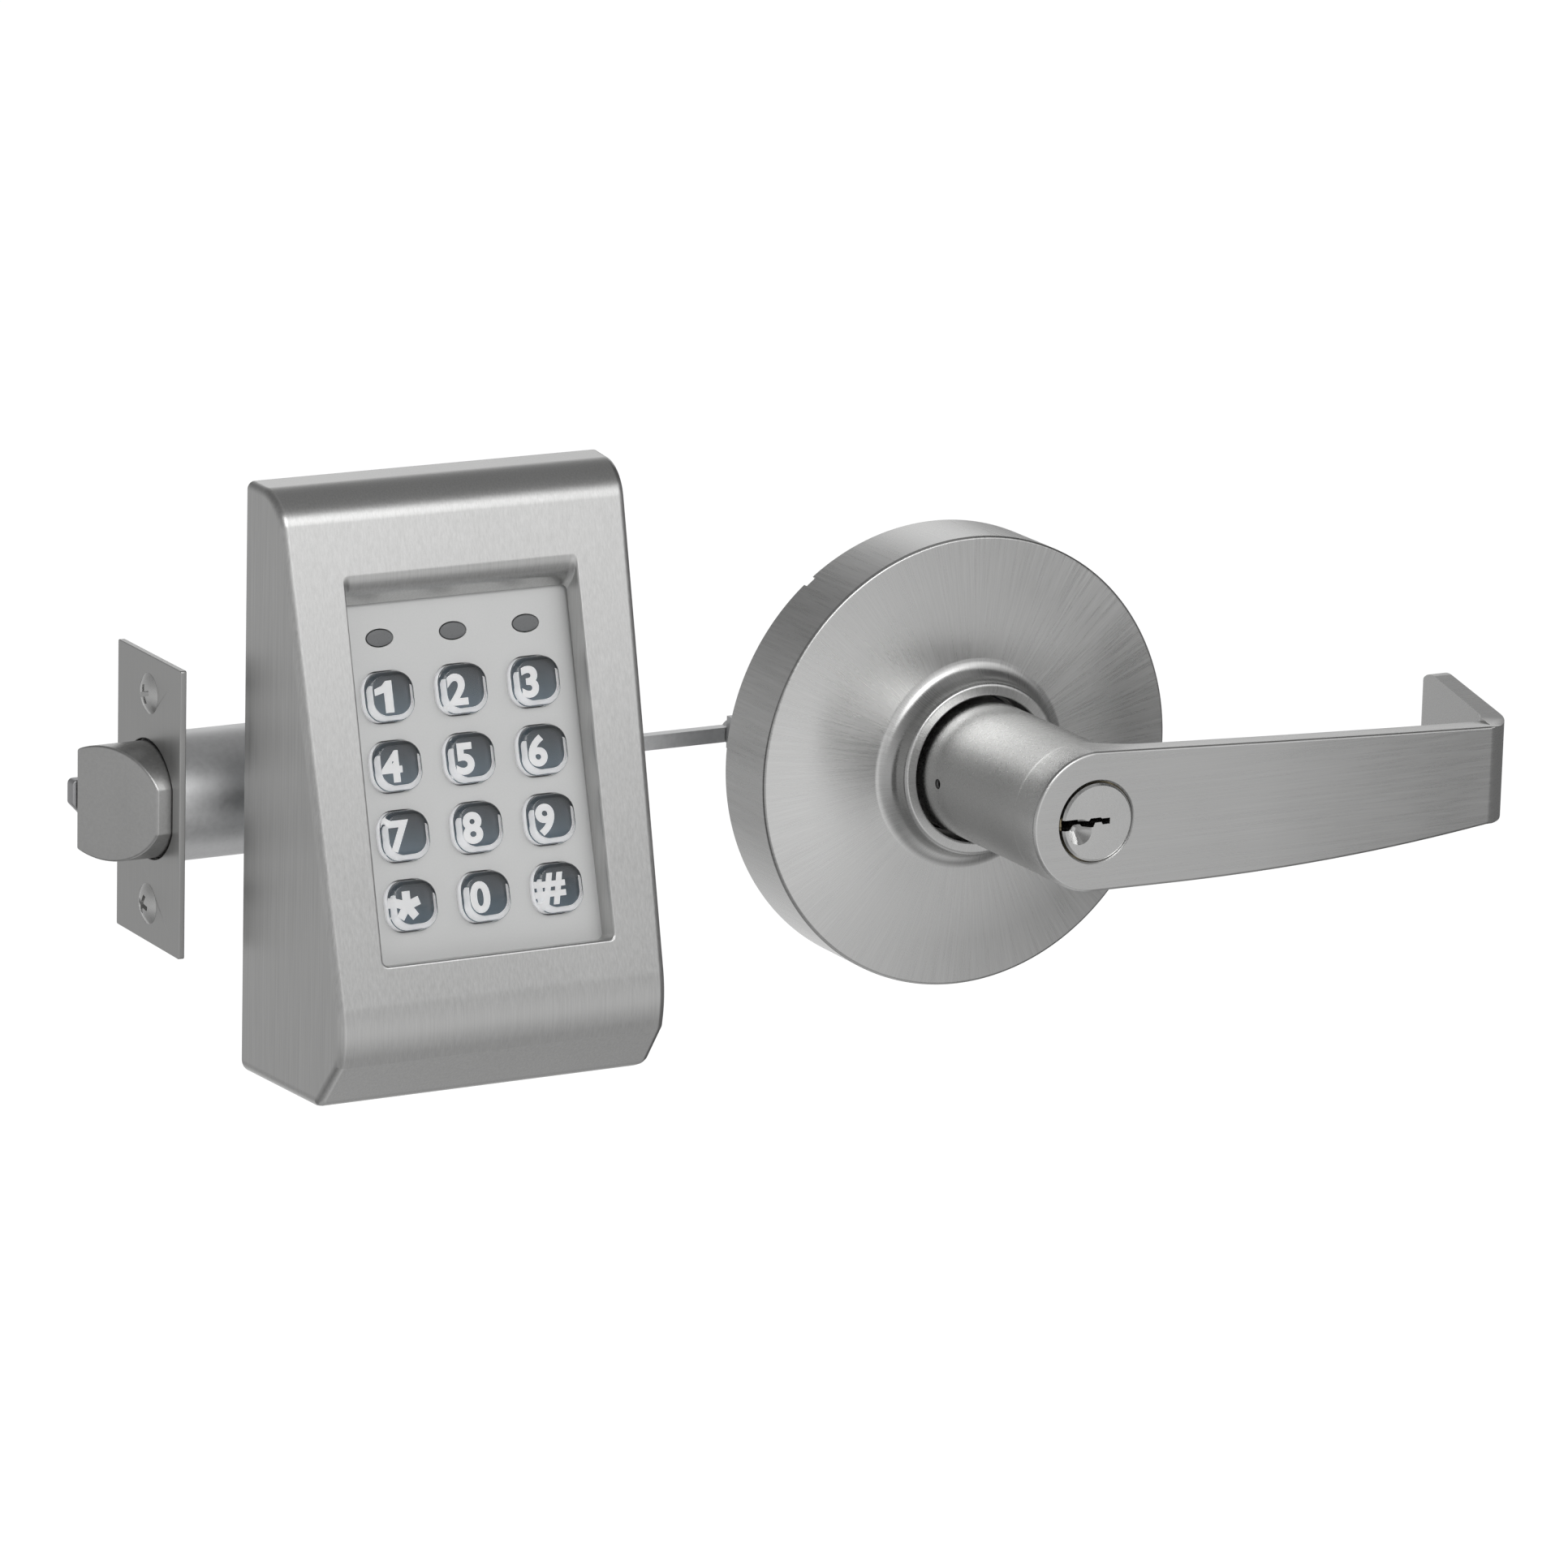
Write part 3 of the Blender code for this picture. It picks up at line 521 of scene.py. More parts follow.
def plain_metal(name, colour, roughness, scale=900.0, contrast=0.06):
    """Machined or plated metal with a fine even texture."""
    metal = Material(name, Metallic=1.0)
    grains = metal.noise(metal.position((scale,) * 3), 3.0, 0.6)
    clouds = metal.noise(metal.position((60.0,) * 3), 2.0, 0.5)
    metal.wire("Base Color", metal.tint(
        colour, metal.spread(grains, 1 - contrast, 1 + contrast), metal.spread(clouds, 0.95, 1.05)))
    metal.wire("Roughness", metal.spread(grains, roughness - 0.05, roughness + 0.06))
    metal.bump(grains, 0.10, 0.00003)
    return metal.material


def moulded(name, colour, roughness, painted_glow=0.0):
    """Moulded plastic or rubber with a fine spark-eroded grain; the glow strength is painted light,
    a white glow given to pieces that no lamp reaches.
    """
    plastic = Material(name, Emission_Color=(1.0, 1.0, 1.0, 1.0), Emission_Strength=painted_glow)
    grain = plastic.noise(plastic.position((2600.0,) * 3), 2.0, 0.5)
    clouds = plastic.noise(plastic.position((45.0,) * 3), 2.0, 0.5)
    plastic.wire("Base Color", plastic.tint(
        colour, plastic.spread(grain, 0.985, 1.015), plastic.spread(clouds, 0.98, 1.02)))
    plastic.wire("Roughness", plastic.spread(grain, roughness - 0.04, roughness + 0.04))
    plastic.bump(grain, 0.06, 0.00002)
    return plastic.material


def key_insert_painted_shade():
    """Blue-grey insert with painted shade: its colour darkens towards its top and right, where the
    cap's wall shades it.
    """
    insert = Material("key_insert_painted_shade")
    place = insert.node("ShaderNodeTexCoord").outputs["Object"]
    parts = insert.node("ShaderNodeSeparateXYZ", {0: place}).outputs
    slope = insert.math("ADD", parts[1], insert.math("MULTIPLY", parts[0], 0.35))
    shade = insert.node("ShaderNodeMapRange", {0: slope, 1: -0.003, 2: 0.0046, 3: 1.0, 4: 0.0})
    ramp = insert.node("ShaderNodeValToRGB", {0: shade.outputs[0]})
    # The ramp runs from painted shade at the top and right to the insert's own lighter blue-grey.
    ramp.color_ramp.elements[0].color = (0.006, 0.010, 0.015, 1.0)
    ramp.color_ramp.elements[1].color = (0.105, 0.160, 0.205, 1.0)
    grain = insert.noise(insert.position((1800.0,) * 3), 2.0, 0.5)
    insert.wire("Base Color", ramp.outputs[0])
    insert.wire("Roughness", insert.spread(grain, 0.30, 0.42))
    return insert.material


def clear_cap():
    """Clear acrylic with the faintest waviness."""
    cap = Material("clear_acrylic", Transmission_Weight=1.0, IOR=1.49)
    cap.shader.inputs["Base Color"].default_value = (0.985, 0.99, 1.0, 1.0)
    waves = cap.noise(cap.position((260.0,) * 3), 2.0, 0.4)
    cap.wire("Roughness", cap.spread(waves, 0.01, 0.05))
    cap.bump(waves, 0.08, 0.0002)
    return cap.material


def board_material():
    """Green solder resist with a grid of paler tracks."""
    board = Material("circuit_board", Coat_Weight=0.3)
    place = board.node("ShaderNodeTexCoord").outputs["Object"]
    grid = board.node("ShaderNodeTexBrick", {
        "Vector": place, "Scale": 260.0, "Mortar Size": 0.02, "Color1": (0.02, 0.13, 0.05, 1),
        "Color2": (0.025, 0.15, 0.06, 1), "Mortar": (0.05, 0.25, 0.10, 1)})
    board.wire("Base Color", grid.outputs["Color"])
    board.wire("Roughness", board.spread(board.noise(board.position((500.0,) * 3)), 0.35, 0.5))
    return board.material


NICKEL = (0.60, 0.60, 0.595)
housing_metal = brushed("nickel_vertical_brush", NICKEL, 0.34, (2600.0, 34.0, 2600.0), 0.13, 0.55,
                        (1.0, 0.0, 0.0))
rose_metal = brushed("nickel_radial_brush", NICKEL, 0.29, (75.0, 60.0, 60.0), 0.12, 0.75)
lever_metal = brushed("nickel_long_brush", (0.64, 0.64, 0.635), 0.29, (30.0, 2400.0, 2400.0), 0.06,
                      0.4, (0.0, 0.0, 1.0))
latch_metal = brushed("latch_nickel", (0.52, 0.52, 0.515), 0.36, (40.0, 2400.0, 2400.0), 0.07, 0.3,
                      (0.0, 1.0, 0.0))
bolt_metal = plain_metal("bolt_nickel", (0.55, 0.55, 0.545), 0.38, 1500.0, 0.08)
plug_metal = plain_metal("plug_nickel", (0.66, 0.66, 0.655), 0.24, 1400.0, 0.05)
screw_metal = plain_metal("screw_nickel", (0.66, 0.66, 0.655), 0.26, 1200.0)
steel = plain_metal("plated_steel", (0.55, 0.555, 0.56), 0.38)
bright_steel = plain_metal("bright_zinc_plate", (0.88, 0.885, 0.89), 0.48)
spring_wire = plain_metal("spring_wire", (0.40, 0.40, 0.41), 0.32)
zinc = plain_metal("cast_zinc", (0.50, 0.50, 0.51), 0.45, 700.0, 0.08)
brass = plain_metal("machined_brass", (0.42, 0.36, 0.24), 0.38)
nylon = moulded("nylon", (0.76, 0.76, 0.73), 0.50)
panel_plastic = moulded("panel_plastic", (0.80, 0.805, 0.80), 0.42)
led_plastic = moulded("led_lens", (0.19, 0.195, 0.20), 0.30)
silicone = moulded("silicone", (0.22, 0.22, 0.23), 0.70)
# The figures and the key bases glow: painted light that brightens them behind the clear caps.
figure_white = moulded("figure_white", (0.95, 0.95, 0.95), 0.40, painted_glow=0.22)
base_white = moulded("key_base_white", (0.95, 0.95, 0.96), 0.40, painted_glow=0.25)
# Near-black: painted shade for the depth of the keyway.
keyway_painted_shade = plain_metal("keyway_painted_shade", (0.05, 0.05, 0.05), 0.5)
insert_plastic_painted_shade = key_insert_painted_shade()
acrylic = clear_cap()
board_green = board_material()


# ---------------------------------------------------------------- rose and chassis

def build_rose():
    rim, wall = ROSE_RIM, ROSE_WALL
    profile = (
        arc((COLLAR_HOLE + 0.5, COLLAR_TOP - 0.5), 0.5, 180, 90, 6)
        + arc((COLLAR_HOLE + 1.9, COLLAR_TOP - 0.9), 0.9, 90, 14, 8)
        + arc((21.7, COLLAR_TOP - 1.3), 4.0, 190, 266, 14)
        + [(24.5, rim + 1.18), (29.0, rim + 1.08), (33.0, rim + 0.92), (37.0, rim + 0.68),
           (41.0, rim + 0.36)]
        + arc((ROSE_RADIUS - 0.7, rim - 0.55), 0.7, 82, 0, 8)
        + [(ROSE_RADIUS, 0.0), (ROSE_RADIUS - wall, 0.0), (ROSE_RADIUS - wall, 14.1),
           (20.5, 15.2), (COLLAR_HOLE, 15.2)])
    rose = turned("rose_shell", profile, 240)
    notch = turn_mesh(box("notch", (-1.2, ROSE_RADIUS - 4, -1), (1.2, ROSE_RADIUS + 3, 1.1)),
                      Matrix.Rotation(ROSE_NOTCH_TURN, 4, "Z"))
    piece(cut(rose, notch), "rose_shell", DOOR, "lockset", rose_metal, ["rose"], 30)


def build_mounting_plate():
    radius = MOUNTING_PLATE_RADIUS
    plate = turned("plate", [(radius, 2.2), (radius - 0.2, 2.4), (15.2, 2.4), (15.0, 2.2),
                             (15.0, 0.6), (15.2, 0.4), (radius - 0.2, 0.4), (radius, 0.6)])
    for side in (-1, 1):
        cut(plate, cylinder("hole", 2.8, -1, 4, (side * MOUNTING_SCREW, 0), 40))
    piece(plate, "rose_plate", DOOR, "lockset", steel, ["rose_mounting_plate"])


def build_chassis():
    radius, inner, back = CHASSIS_RADIUS, CHASSIS_RADIUS - CHASSIS_WALL, CHASSIS_BACK
    profile = [(radius - 0.4, -2.2), (radius, -2.6), (radius, back + 0.3), (radius - 0.3, back),
               (inner, back), (inner, -4.0), (8.9, -4.0), (8.9, -2.2)]
    housing = turned("chassis", profile, 120)
    slot = bevel(box("slot", (-30, -6, -26.0), (-20, 7, -18.4)), 1.0, 3)
    piece(cut(housing, slot), "chassis_barrel", DOOR, "lockset", steel,
          ["chassis_housing"])
    face = COVER_FACE
    cover = turned("cover", [(radius - 0.3, back - 0.3), (radius, back - 0.6), (radius, face + 0.5),
                             (radius - 0.5, face), (9.4, face), (9.0, face + 0.4),
                             (9.0, back - 0.3)], 120)
    for turn in range(3):
        angle = math.radians(90 + 120 * turn)
        centre = (DIMPLE_CIRCLE * math.cos(angle), DIMPLE_CIRCLE * math.sin(angle))
        cut(cover, cylinder("dimple", DIMPLE_RADIUS, face - 0.6, face + 0.5, centre, 32))
    piece(cover, "chassis_end", DOOR, "lockset", steel, ["chassis_cover"])


# ---------------------------------------------------------------- lever

def paddle_plan():
    inner = LEVER_FACE - PADDLE_THICKNESS
    points = [
        (-16, inner), (58, inner), (PADDLE_END - 4.3, inner - 1.4), (PADDLE_END - 3.2, RETURN_TIP),
        (PADDLE_END + 0.7, RETURN_TIP), (PADDLE_END, LEVER_FACE - 1.2), (60, LEVER_FACE),
        (-16, LEVER_FACE),
    ]
    return rounded(points, [0, 1400, 2.0, 1.6, 1.6, 6.0, 1400, 0], 14)


def front_outline():
    hub = arc((0, 0), STEM_RADIUS, 92, 268, 48)
    far = PADDLE_END + 0.4
    taper = rounded([(0, -STEM_RADIUS), (52, -14.6), (far, -9.8), (far, 9.3)],
                    [0, 600, 3.0, 0], 24)
    return hub + taper[1:]


def return_outline():
    """The return seen from the end: distance out of the door, then height."""
    near, tip = LEVER_FACE - 1.2, RETURN_TIP - 0.4
    return rounded([(near, -7.4), (near, 9.3), (tip, 15.2), (tip, -11.4), (56, -10.0)],
                   [0, 0, 5.0, 6.0, 8.0], 16)


def build_lever():
    paddle = outline_solid("paddle", [paddle_plan()], -17, 17)
    turn_mesh(paddle, axes((1, 0, 0), (0, 0, 1), (0, -1, 0)))
    front = outline_solid("front", [front_outline()], LEVER_FACE - 7, 70)
    end = outline_solid("end", [return_outline()], PADDLE_END - 5, PADDLE_END + 5)
    turn_mesh(end, axes((0, 0, 1), (0, 1, 0), (1, 0, 0)))
    common(paddle, join(front, end))
    bevel(paddle, 0.6, 3, 50, lambda a, b: float(min(a.z, b.z) > LEVER_FACE - 1.1))

    back = LEVER_FACE - PADDLE_THICKNESS
    flare, radius = STEM_FLARE, STEM_RADIUS - 0.12
    profile = (
        [(SPINDLE_CLEARANCE, 9.9), (SPINDLE_CLEARANCE, 16.0), (LEVER_BORE, 16.0),
         (LEVER_BORE, back + 1.5), (radius + flare, back + 1.5)]
        + arc((radius + flare, back - flare), flare, 90, 180, 12)
        + [(radius, 10.1), (radius - 0.4, 9.7)])
    stem = turned("stem", profile[::-1], 160)
    common(stem, outline_solid("hub", [front_outline()], 0, 70))
    join(paddle, stem)
    pinhole = cylinder("pinhole", 1.0, -20, -10, sides=32)
    counterbore = cylinder("counterbore", 2.5, -13.2, -10, sides=40)
    for hole in (pinhole, counterbore):
        turn_mesh(hole, Matrix.Rotation(SQUARE, 4, "Y"))
        turn_mesh(hole, Matrix.Translation((0, 0, PINHOLE_OUT * MM)))
    opening = PLUG_RADIUS + PLUG_GAP
    mouth = cylinder("mouth", opening, 50, LEVER_FACE + 2)
    sink = cylinder("sink", opening, LEVER_FACE - 0.35, LEVER_FACE + 0.05, top_radius=opening + 0.4)
    cavity = cylinder("cavity", LEVER_BORE, 17, 64.0)
    cut(paddle, cavity, mouth, sink, counterbore, pinhole)
    piece(paddle, "lever_handle_skin", DOOR, "lever", lever_metal,
          ["lever_handle"], 32)


def build_plug():
    """The plug's face with its keyway: a stepped slot and a conical lead-in for the key."""
    face = LEVER_FACE + 0.5
    profile = [(AXIS_RADIUS, PLUG_BACK), (PLUG_BODY_RADIUS, PLUG_BACK),
               (PLUG_BODY_RADIUS, PLUG_HEAD), (PLUG_RADIUS, PLUG_HEAD), (PLUG_RADIUS, face - 0.45),
               (PLUG_RADIUS - 0.45, face), (AXIS_RADIUS, face)]
    plug = turned("plug", profile, 128)
    wards = [(-9.0, -1.0), (-5.4, -1.0), (-5.0, -0.35), (-3.2, -0.35), (-2.8, -0.8), (-1.0, -0.8),
             (-0.6, 0.05), (0.8, 0.05), (1.1, -0.45), (2.7, -0.45), (2.7, 0.75), (0.9, 0.75),
             (0.6, 1.0), (-1.6, 1.0), (-2.0, 0.55), (-4.2, 0.55), (-4.6, 1.1), (-9.0, 1.1)]
    keyway = outline_solid("keyway", [wards], 46, 72)
    cone = cylinder("cone", 0.4, LEVER_FACE - 2.0, face + 0.05, (-3.9, -1.5), 48, top_radius=2.6)
    cut(plug, keyway, cone)
    piece(plug, "key_plug_skin", DOOR, "plug", plug_metal, ["key_plug"], 30)
    # A near-black block deep in the keyway slot: painted shade.
    floor = [(-6.0, -0.9), (2.6, -0.9), (2.6, 1.0), (-6.0, 1.0)]
    shade_block = outline_solid("shade_block", [floor], 46.2, 50)
    piece(shade_block, "keyway_shade_block", DOOR, "plug", keyway_painted_shade)


# ---------------------------------------------------------------- latch

def thread(radius, low, high):
    """A screw shank as stacked ridges."""
    root = radius - THREAD_DEPTH
    profile = [(AXIS_RADIUS, low)]
    for i in range(int((high - low) / THREAD_PITCH)):
        z = low + i * THREAD_PITCH
        profile += [(root, z + THREAD_PITCH * 0.25), (radius, z + THREAD_PITCH * 0.6)]
    profile += [(root, high), (AXIS_RADIUS, high)]
    return turned("shank", profile, 48)


def build_latch():
    height, width = PLATE_HIGH.z - PLATE_LOW.z, PLATE_HIGH.y - PLATE_LOW.y
    thickness = PLATE_HIGH.x - PLATE_LOW.x
    plate = outline_solid("plate", [rounded_rectangle(height, width, 0.4, 4),
                                    flat_sided_circle(OPENING_RADIUS, *OPENING_FLATS)],
                          -thickness, 0.0, 0.2)
    for side in (-1, 1):
        centre = (side * FACEPLATE_SCREW, 0)
        cut(plate, cylinder("hole", 2.4, -5, 5, centre, 48),
            cylinder("sink", 2.0, -thickness, 0.4, centre, 64, top_radius=4.7))
    piece(plate, "faceplate_skin", LATCH, "lockset", latch_metal, ["faceplate"])

    for label, side in (("upper", 1), ("lower", -1)):
        place = LATCH @ Matrix.Translation((side * FACEPLATE_SCREW * MM, 0, 0)) @ Matrix.Rotation(
            FACEPLATE_SCREW_TURN * side, 4, "Z")
        head = turned("head", [(AXIS_RADIUS, -2.0), (1.9, -2.0), (4.0, -0.15), (4.0, 0.0)]
                      + arc((0, -6.0), 7.2, 56, 90, 10)[1:-1] + [(AXIS_RADIUS, 1.2)], 72)
        for turn in (0, 1):
            groove = loft("groove", [
                [(-0.3, -0.25, -0.9), (0.3, -0.25, -0.9), (0.3, 0.25, -0.9), (-0.3, 0.25, -0.9)],
                [(-2.5, -0.55, 1.6), (2.5, -0.55, 1.6), (2.5, 0.55, 1.6), (-2.5, 0.55, 1.6)]])
            cut(head, turn_mesh(groove, Matrix.Rotation(SQUARE * turn, 4, "Z")))
        shank = thread(FACEPLATE_SCREW_RADIUS, FACEPLATE_SCREW_END, -1.9)
        piece(head, f"screw_head_{label}", place, "lockset", screw_metal,
              [f"faceplate_screw_{label}"])
        piece(shank, f"screw_shank_{label}", place, "lockset", screw_metal)

    case_low, case_high = mm_box("latch_case")
    near, far = BACKSET + case_low.x, BACKSET + case_high.x
    radius = (case_high.z - case_low.z) / 2
    profile = [(radius, -near), (radius, -far + 0.6), (radius - 0.6, -far), (6.0, -far),
               (6.0, 1.6 - far), (radius - 0.7, 1.6 - far), (radius - 0.7, -near)]
    case = turned("case", profile, 128)
    piece(case, "latch_barrel", LATCH, "lockset", bright_steel, ["latch_case"])

    bolt = outline_solid("bolt", [flat_sided_circle(BOLT_RADIUS, BOLT_FLAT, BOLT_FAR_FLAT)],
                         -24.0, BOLT_THROW)
    slope = outline_solid("slope", [[(-14, 0.95), (9.5, 15.1), (9.5, 30), (-14, 30)]], -20, 20)
    turn_mesh(slope, axes((0, 1, 0), (0, 0, 1), (1, 0, 0)))
    bevel(cut(bolt, slope), 0.45, 3, 30)
    piece(bolt, "latch_bolt_skin", LATCH, "bolt", bolt_metal, ["latch_bolt"])

    plunger = outline_solid(
        "plunger", [rounded([(-4.2, PLUNGER_HEEL), (3.6, PLUNGER_HEEL), (3.6, 13.4), (-1.2, 13.4),
                             (-4.2, 10.6)], [0, 0, 1.0, 0.8, 0.6], 4)],
        *PLUNGER_SIDES, 0.3)
    turn_mesh(plunger, axes((1, 0, 0), (0, 0, 1), (0, 1, 0)))
    piece(plunger, "deadlatch_skin", LATCH, "deadlatch", zinc, ["deadlatch_plunger"])


# ---------------------------------------------------------------- keypad

FACE_SLOPE = (FACE_FOOT[0] - FACE_TOP[0]) / (FACE_TOP[1] - FACE_FOOT[1])
FACE_TILT = math.atan(FACE_SLOPE)
FACE_MIDDLE = 64.0


def face_depth(height):
    return FACE_TOP[0] + (FACE_TOP[1] - height) * FACE_SLOPE


def housing_outline(inset, back):
    top = KEYPAD_HEIGHT - inset
    points = [
        (back, inset), (BOTTOM_FRONT - inset / 2, inset), (CREASE[0] - inset, CREASE[1]),
        (face_depth(KNEE) - inset, KNEE), (face_depth(top - 0.8) - inset, top - 0.8), (back, top)]
    return rounded(points, [0, 0, 0, 22.0, 8.5 - inset, 0], 20)


def side_extrusion(name, outline, width):
    """A solid with the outline seen from the side, narrower towards its front."""
    solid = outline_solid(name, [outline], -width / 2, width / 2)
    turn_mesh(solid, axes((0, 0, 1), (0, 1, 0), (-1, 0, 0)))
    for vertex in solid.data.vertices:
        vertex.co.x *= 1 - KEYPAD_DRAFT * vertex.co.z / (width / 2 * MM)
    return solid


def window_loop(depth):
    """The window's outline at a depth below the face, wider where its edges round off."""
    def flare(radius):
        return radius - math.sqrt(radius ** 2 - max(radius - max(depth, 0), 0) ** 2)
    top = (WINDOW_TOP - FACE_MIDDLE) / math.cos(FACE_TILT) - max(depth, 0) * math.tan(
        math.radians(31)) + flare(2.6)
    foot = (WINDOW_FOOT - FACE_MIDDLE) / math.cos(FACE_TILT) - flare(0.5)
    side = WINDOW_HALF_WIDTH + flare(0.5)
    outline = rounded_rectangle(2 * side, top - foot, 1.3, 6, (0, (top + foot) / 2))
    return [(x, y, -depth) for x, y in outline]


def build_housing():
    housing = side_extrusion("housing", housing_outline(0, -6.0), KEYPAD_WIDTH)
    bevel(housing, 2.8, 10, 40, lambda a, b: 1.0 if max(a.y, b.y) < 0.1 else 0.55)
    cut(housing, box("behind", (-60, -10, -10), (60, 130, 0)))
    cavity = side_extrusion("cavity", housing_outline(KEYPAD_WALL, -3.0),
                            KEYPAD_WIDTH - 2 * KEYPAD_WALL)
    middle = Matrix.Translation((0, FACE_MIDDLE * MM, face_depth(FACE_MIDDLE) * MM))
    face = middle @ Matrix.Rotation(-FACE_TILT, 4, "X")
    surround = turn_mesh(box("surround", (-WINDOW_HALF_WIDTH - 2, -39, -5.2),
                             (WINDOW_HALF_WIDTH + 2, 38, -0.5)), face)
    cut(cavity, surround)
    depths = [-4, 0, 0.04, 0.12, 0.25, 0.38, 0.5, 0.8, 1.2, 1.7, 2.2, 2.6, 9]
    window = turn_mesh(loft("window", [window_loop(depth) for depth in depths]), face)
    cut(housing, cavity, window)
    piece(housing, "housing_shell", KEYPAD, "lockset", housing_metal,
          ["keypad_housing"], 12)


def key_place(index):
    row, column = divmod(index, 3)
    return (column - 1) * KEY_COLUMN, KEY_FIRST_ROW - row * KEY_ROW


def on_panel(x, y):
    return PANEL @ Matrix.Translation((x * MM, y * MM, 0))


def build_panel():
    outlines = [rounded_rectangle(*PANEL_SIZE, 1.0, 4, (0, 0.25))]
    width, height = (side + KEY_OPENING_GAP for side in KEY_SIZE)
    for index in range(len(KEYS)):
        outlines.append(rounded_rectangle(width, height, 3.8, 10, key_place(index)))
    width, height = (side + LED_OPENING_GAP for side in LED_SIZE)
    for column in (-1, 0, 1):
        centre = (column * KEY_COLUMN, LED_ROW)
        outlines.append(ellipse(width, height, centre))
        lens = outline_solid("lens", [ellipse(*LED_SIZE)], -2.4, 0.1, 0.15)
        number = column + 2
        piece(lens, f"led_window_{number}", on_panel(*centre), "lockset", led_plastic,
              [f"led_lens_{number}"])
    panel = outline_solid("panel", outlines, -1.8, 0.0, 0.12)
    piece(panel, "panel_skin", PANEL, "lockset", panel_plastic, ["keypad_panel"])


def star_outline(arms, half_width):
    """The outline of a star with straight arms, one unit across."""
    crotch = half_width / math.sin(math.pi / arms)
    points = []
    for i in range(arms):
        angle = SQUARE + 2 * math.pi * i / arms
        along = Vector((math.cos(angle), math.sin(angle)))
        aside = Vector((-along.y, along.x)) * half_width
        gap = angle + math.pi / arms
        points += [tuple(along / 2 - aside), tuple(along / 2 + aside),
                   (crotch * math.cos(gap), crotch * math.sin(gap))]
    return points


def figure(text, height):
    """A bold figure of a given height, centred on its own outline and standing on z = 0."""
    outlines = {"1": ONE, "*": star_outline(5, 0.15)}
    if text in outlines:
        points = [(x * height, y * height) for x, y in outlines[text]]
        return outline_solid("figure", [points], 0, FIGURE_THICKNESS)
    curve = bpy.data.curves.new("figure", "FONT")
    curve.body = text
    curve.size = FIGURE_TYPE_SIZE * MM
    curve.extrude = FIGURE_THICKNESS / 2 * MM
    curve.offset = FIGURE_WEIGHT * MM
    curve.resolution_u = 6
    obj = curve_to_mesh("figure", curve)
    low = Vector([min(v.co[i] for v in obj.data.vertices) for i in range(3)])
    high = Vector([max(v.co[i] for v in obj.data.vertices) for i in range(3)])
    grow = height * MM / (high.y - low.y)
    middle = (low + high) / 2
    return turn_mesh(obj, Matrix.Diagonal((FIGURE_WIDTH * grow, grow, 1, 1)) @ Matrix.Translation(
        (-middle.x, -middle.y, -low.z)))


def build_keys():
    """Each key is a clear cap moulded over a pale base, a blue-grey insert and a white figure."""
    width, height = KEY_SIZE
    for index, label in enumerate(KEYS):
        place = on_panel(*key_place(index))
        body = f"button_{label}"
        cap = outline_solid("cap", [rounded_rectangle(width, height, 3.6, 12)],
                            -2.8, KEY_PROUD, 1.0)
        piece(cap, f"key_cap_{label}", place, body, acrylic, [f"key_{label}"], 60)
        base = outline_solid("base", [rounded_rectangle(width - 0.4, height - 0.4, 3.4, 12)],
                             -2.2, -0.3)
        piece(base, f"key_base_{label}", place, body, base_white, (), 40)
        insert = outline_solid(
            "insert", [rounded_rectangle(width - 2.4, height - 1.6, 2.8, 12, INSERT_SHIFT)],
            -2.0, INSERT_TOP)
        piece(insert, f"key_insert_painted_shade_{label}", place, body, insert_plastic_painted_shade, (), 40)
        tall = STAR_HEIGHT if label == "star" else FIGURE_HEIGHT
        text = FIGURES.get(label, label)
        print_place = place @ Matrix.Translation((FIGURE_SHIFT * MM, 0, (INSERT_TOP + 0.01) * MM))
        piece(figure(text, tall), f"key_figure_{label}", print_place, body,
              figure_white, (), 40)


def build_keypad_bolts():
    for label in ("lower", "upper"):
        low, high = mm_box(f"keypad_bolt_{label}")
        place = DOOR @ Matrix.Translation(((low.x + high.x) / 2 * MM, (low.z + high.z) / 2 * MM, 0))
        shank = thread(KEYPAD_BOLT_RADIUS, KEYPAD_BOLT_END, 2.0)
        piece(shank, f"bolt_thread_{label}", place, "lockset", steel,
              [f"keypad_bolt_{label}"])
        head = turned("head", [(AXIS_RADIUS, 2.0), (4.2, 2.0), (4.2, 3.4), (3.6, 4.0),
                               (AXIS_RADIUS, 4.0)], 64)
        piece(head, f"bolt_head_{label}", place, "lockset", steel)


# ---------------------------------------------------------------- CAD nodes that keep their shape

def dress_frame():
    finishes = {
        "plated_steel": steel, "spring_steel": spring_wire, "brass": brass, "nylon": nylon,
        "silicone": silicone, "circuit_board": board_green, "satin_nickel": lever_metal,
        "cast_zinc": zinc, "panel_plastic": panel_plastic, "led_lens": led_plastic,
        "key_plastic": insert_plastic_painted_shade,
    }
    slots = {part["node"]: part["material_slot"] for part in frame["record"]["subparts"]}
    for node, obj in frame["nodes"].items():
        finish = bright_steel if node == "extension_link" else finishes[slots[node]]
        obj.data.materials.clear()
        obj.data.materials.append(finish)


# ---------------------------------------------------------------- stage, light and camera

FLOOR_HEIGHT = -0.42
FLOOR_GLOW = 0.80
CAMERA_AZIMUTH = math.radians(29.2)
CAMERA_ELEVATION = math.radians(14.6)
CAMERA_ROLL = math.radians(1.5)
CAMERA_LENS = 200.0
CAMERA_DISTANCE = 1.705
CAMERA_TARGET = Vector((-0.0411, -0.0155, -0.0003))


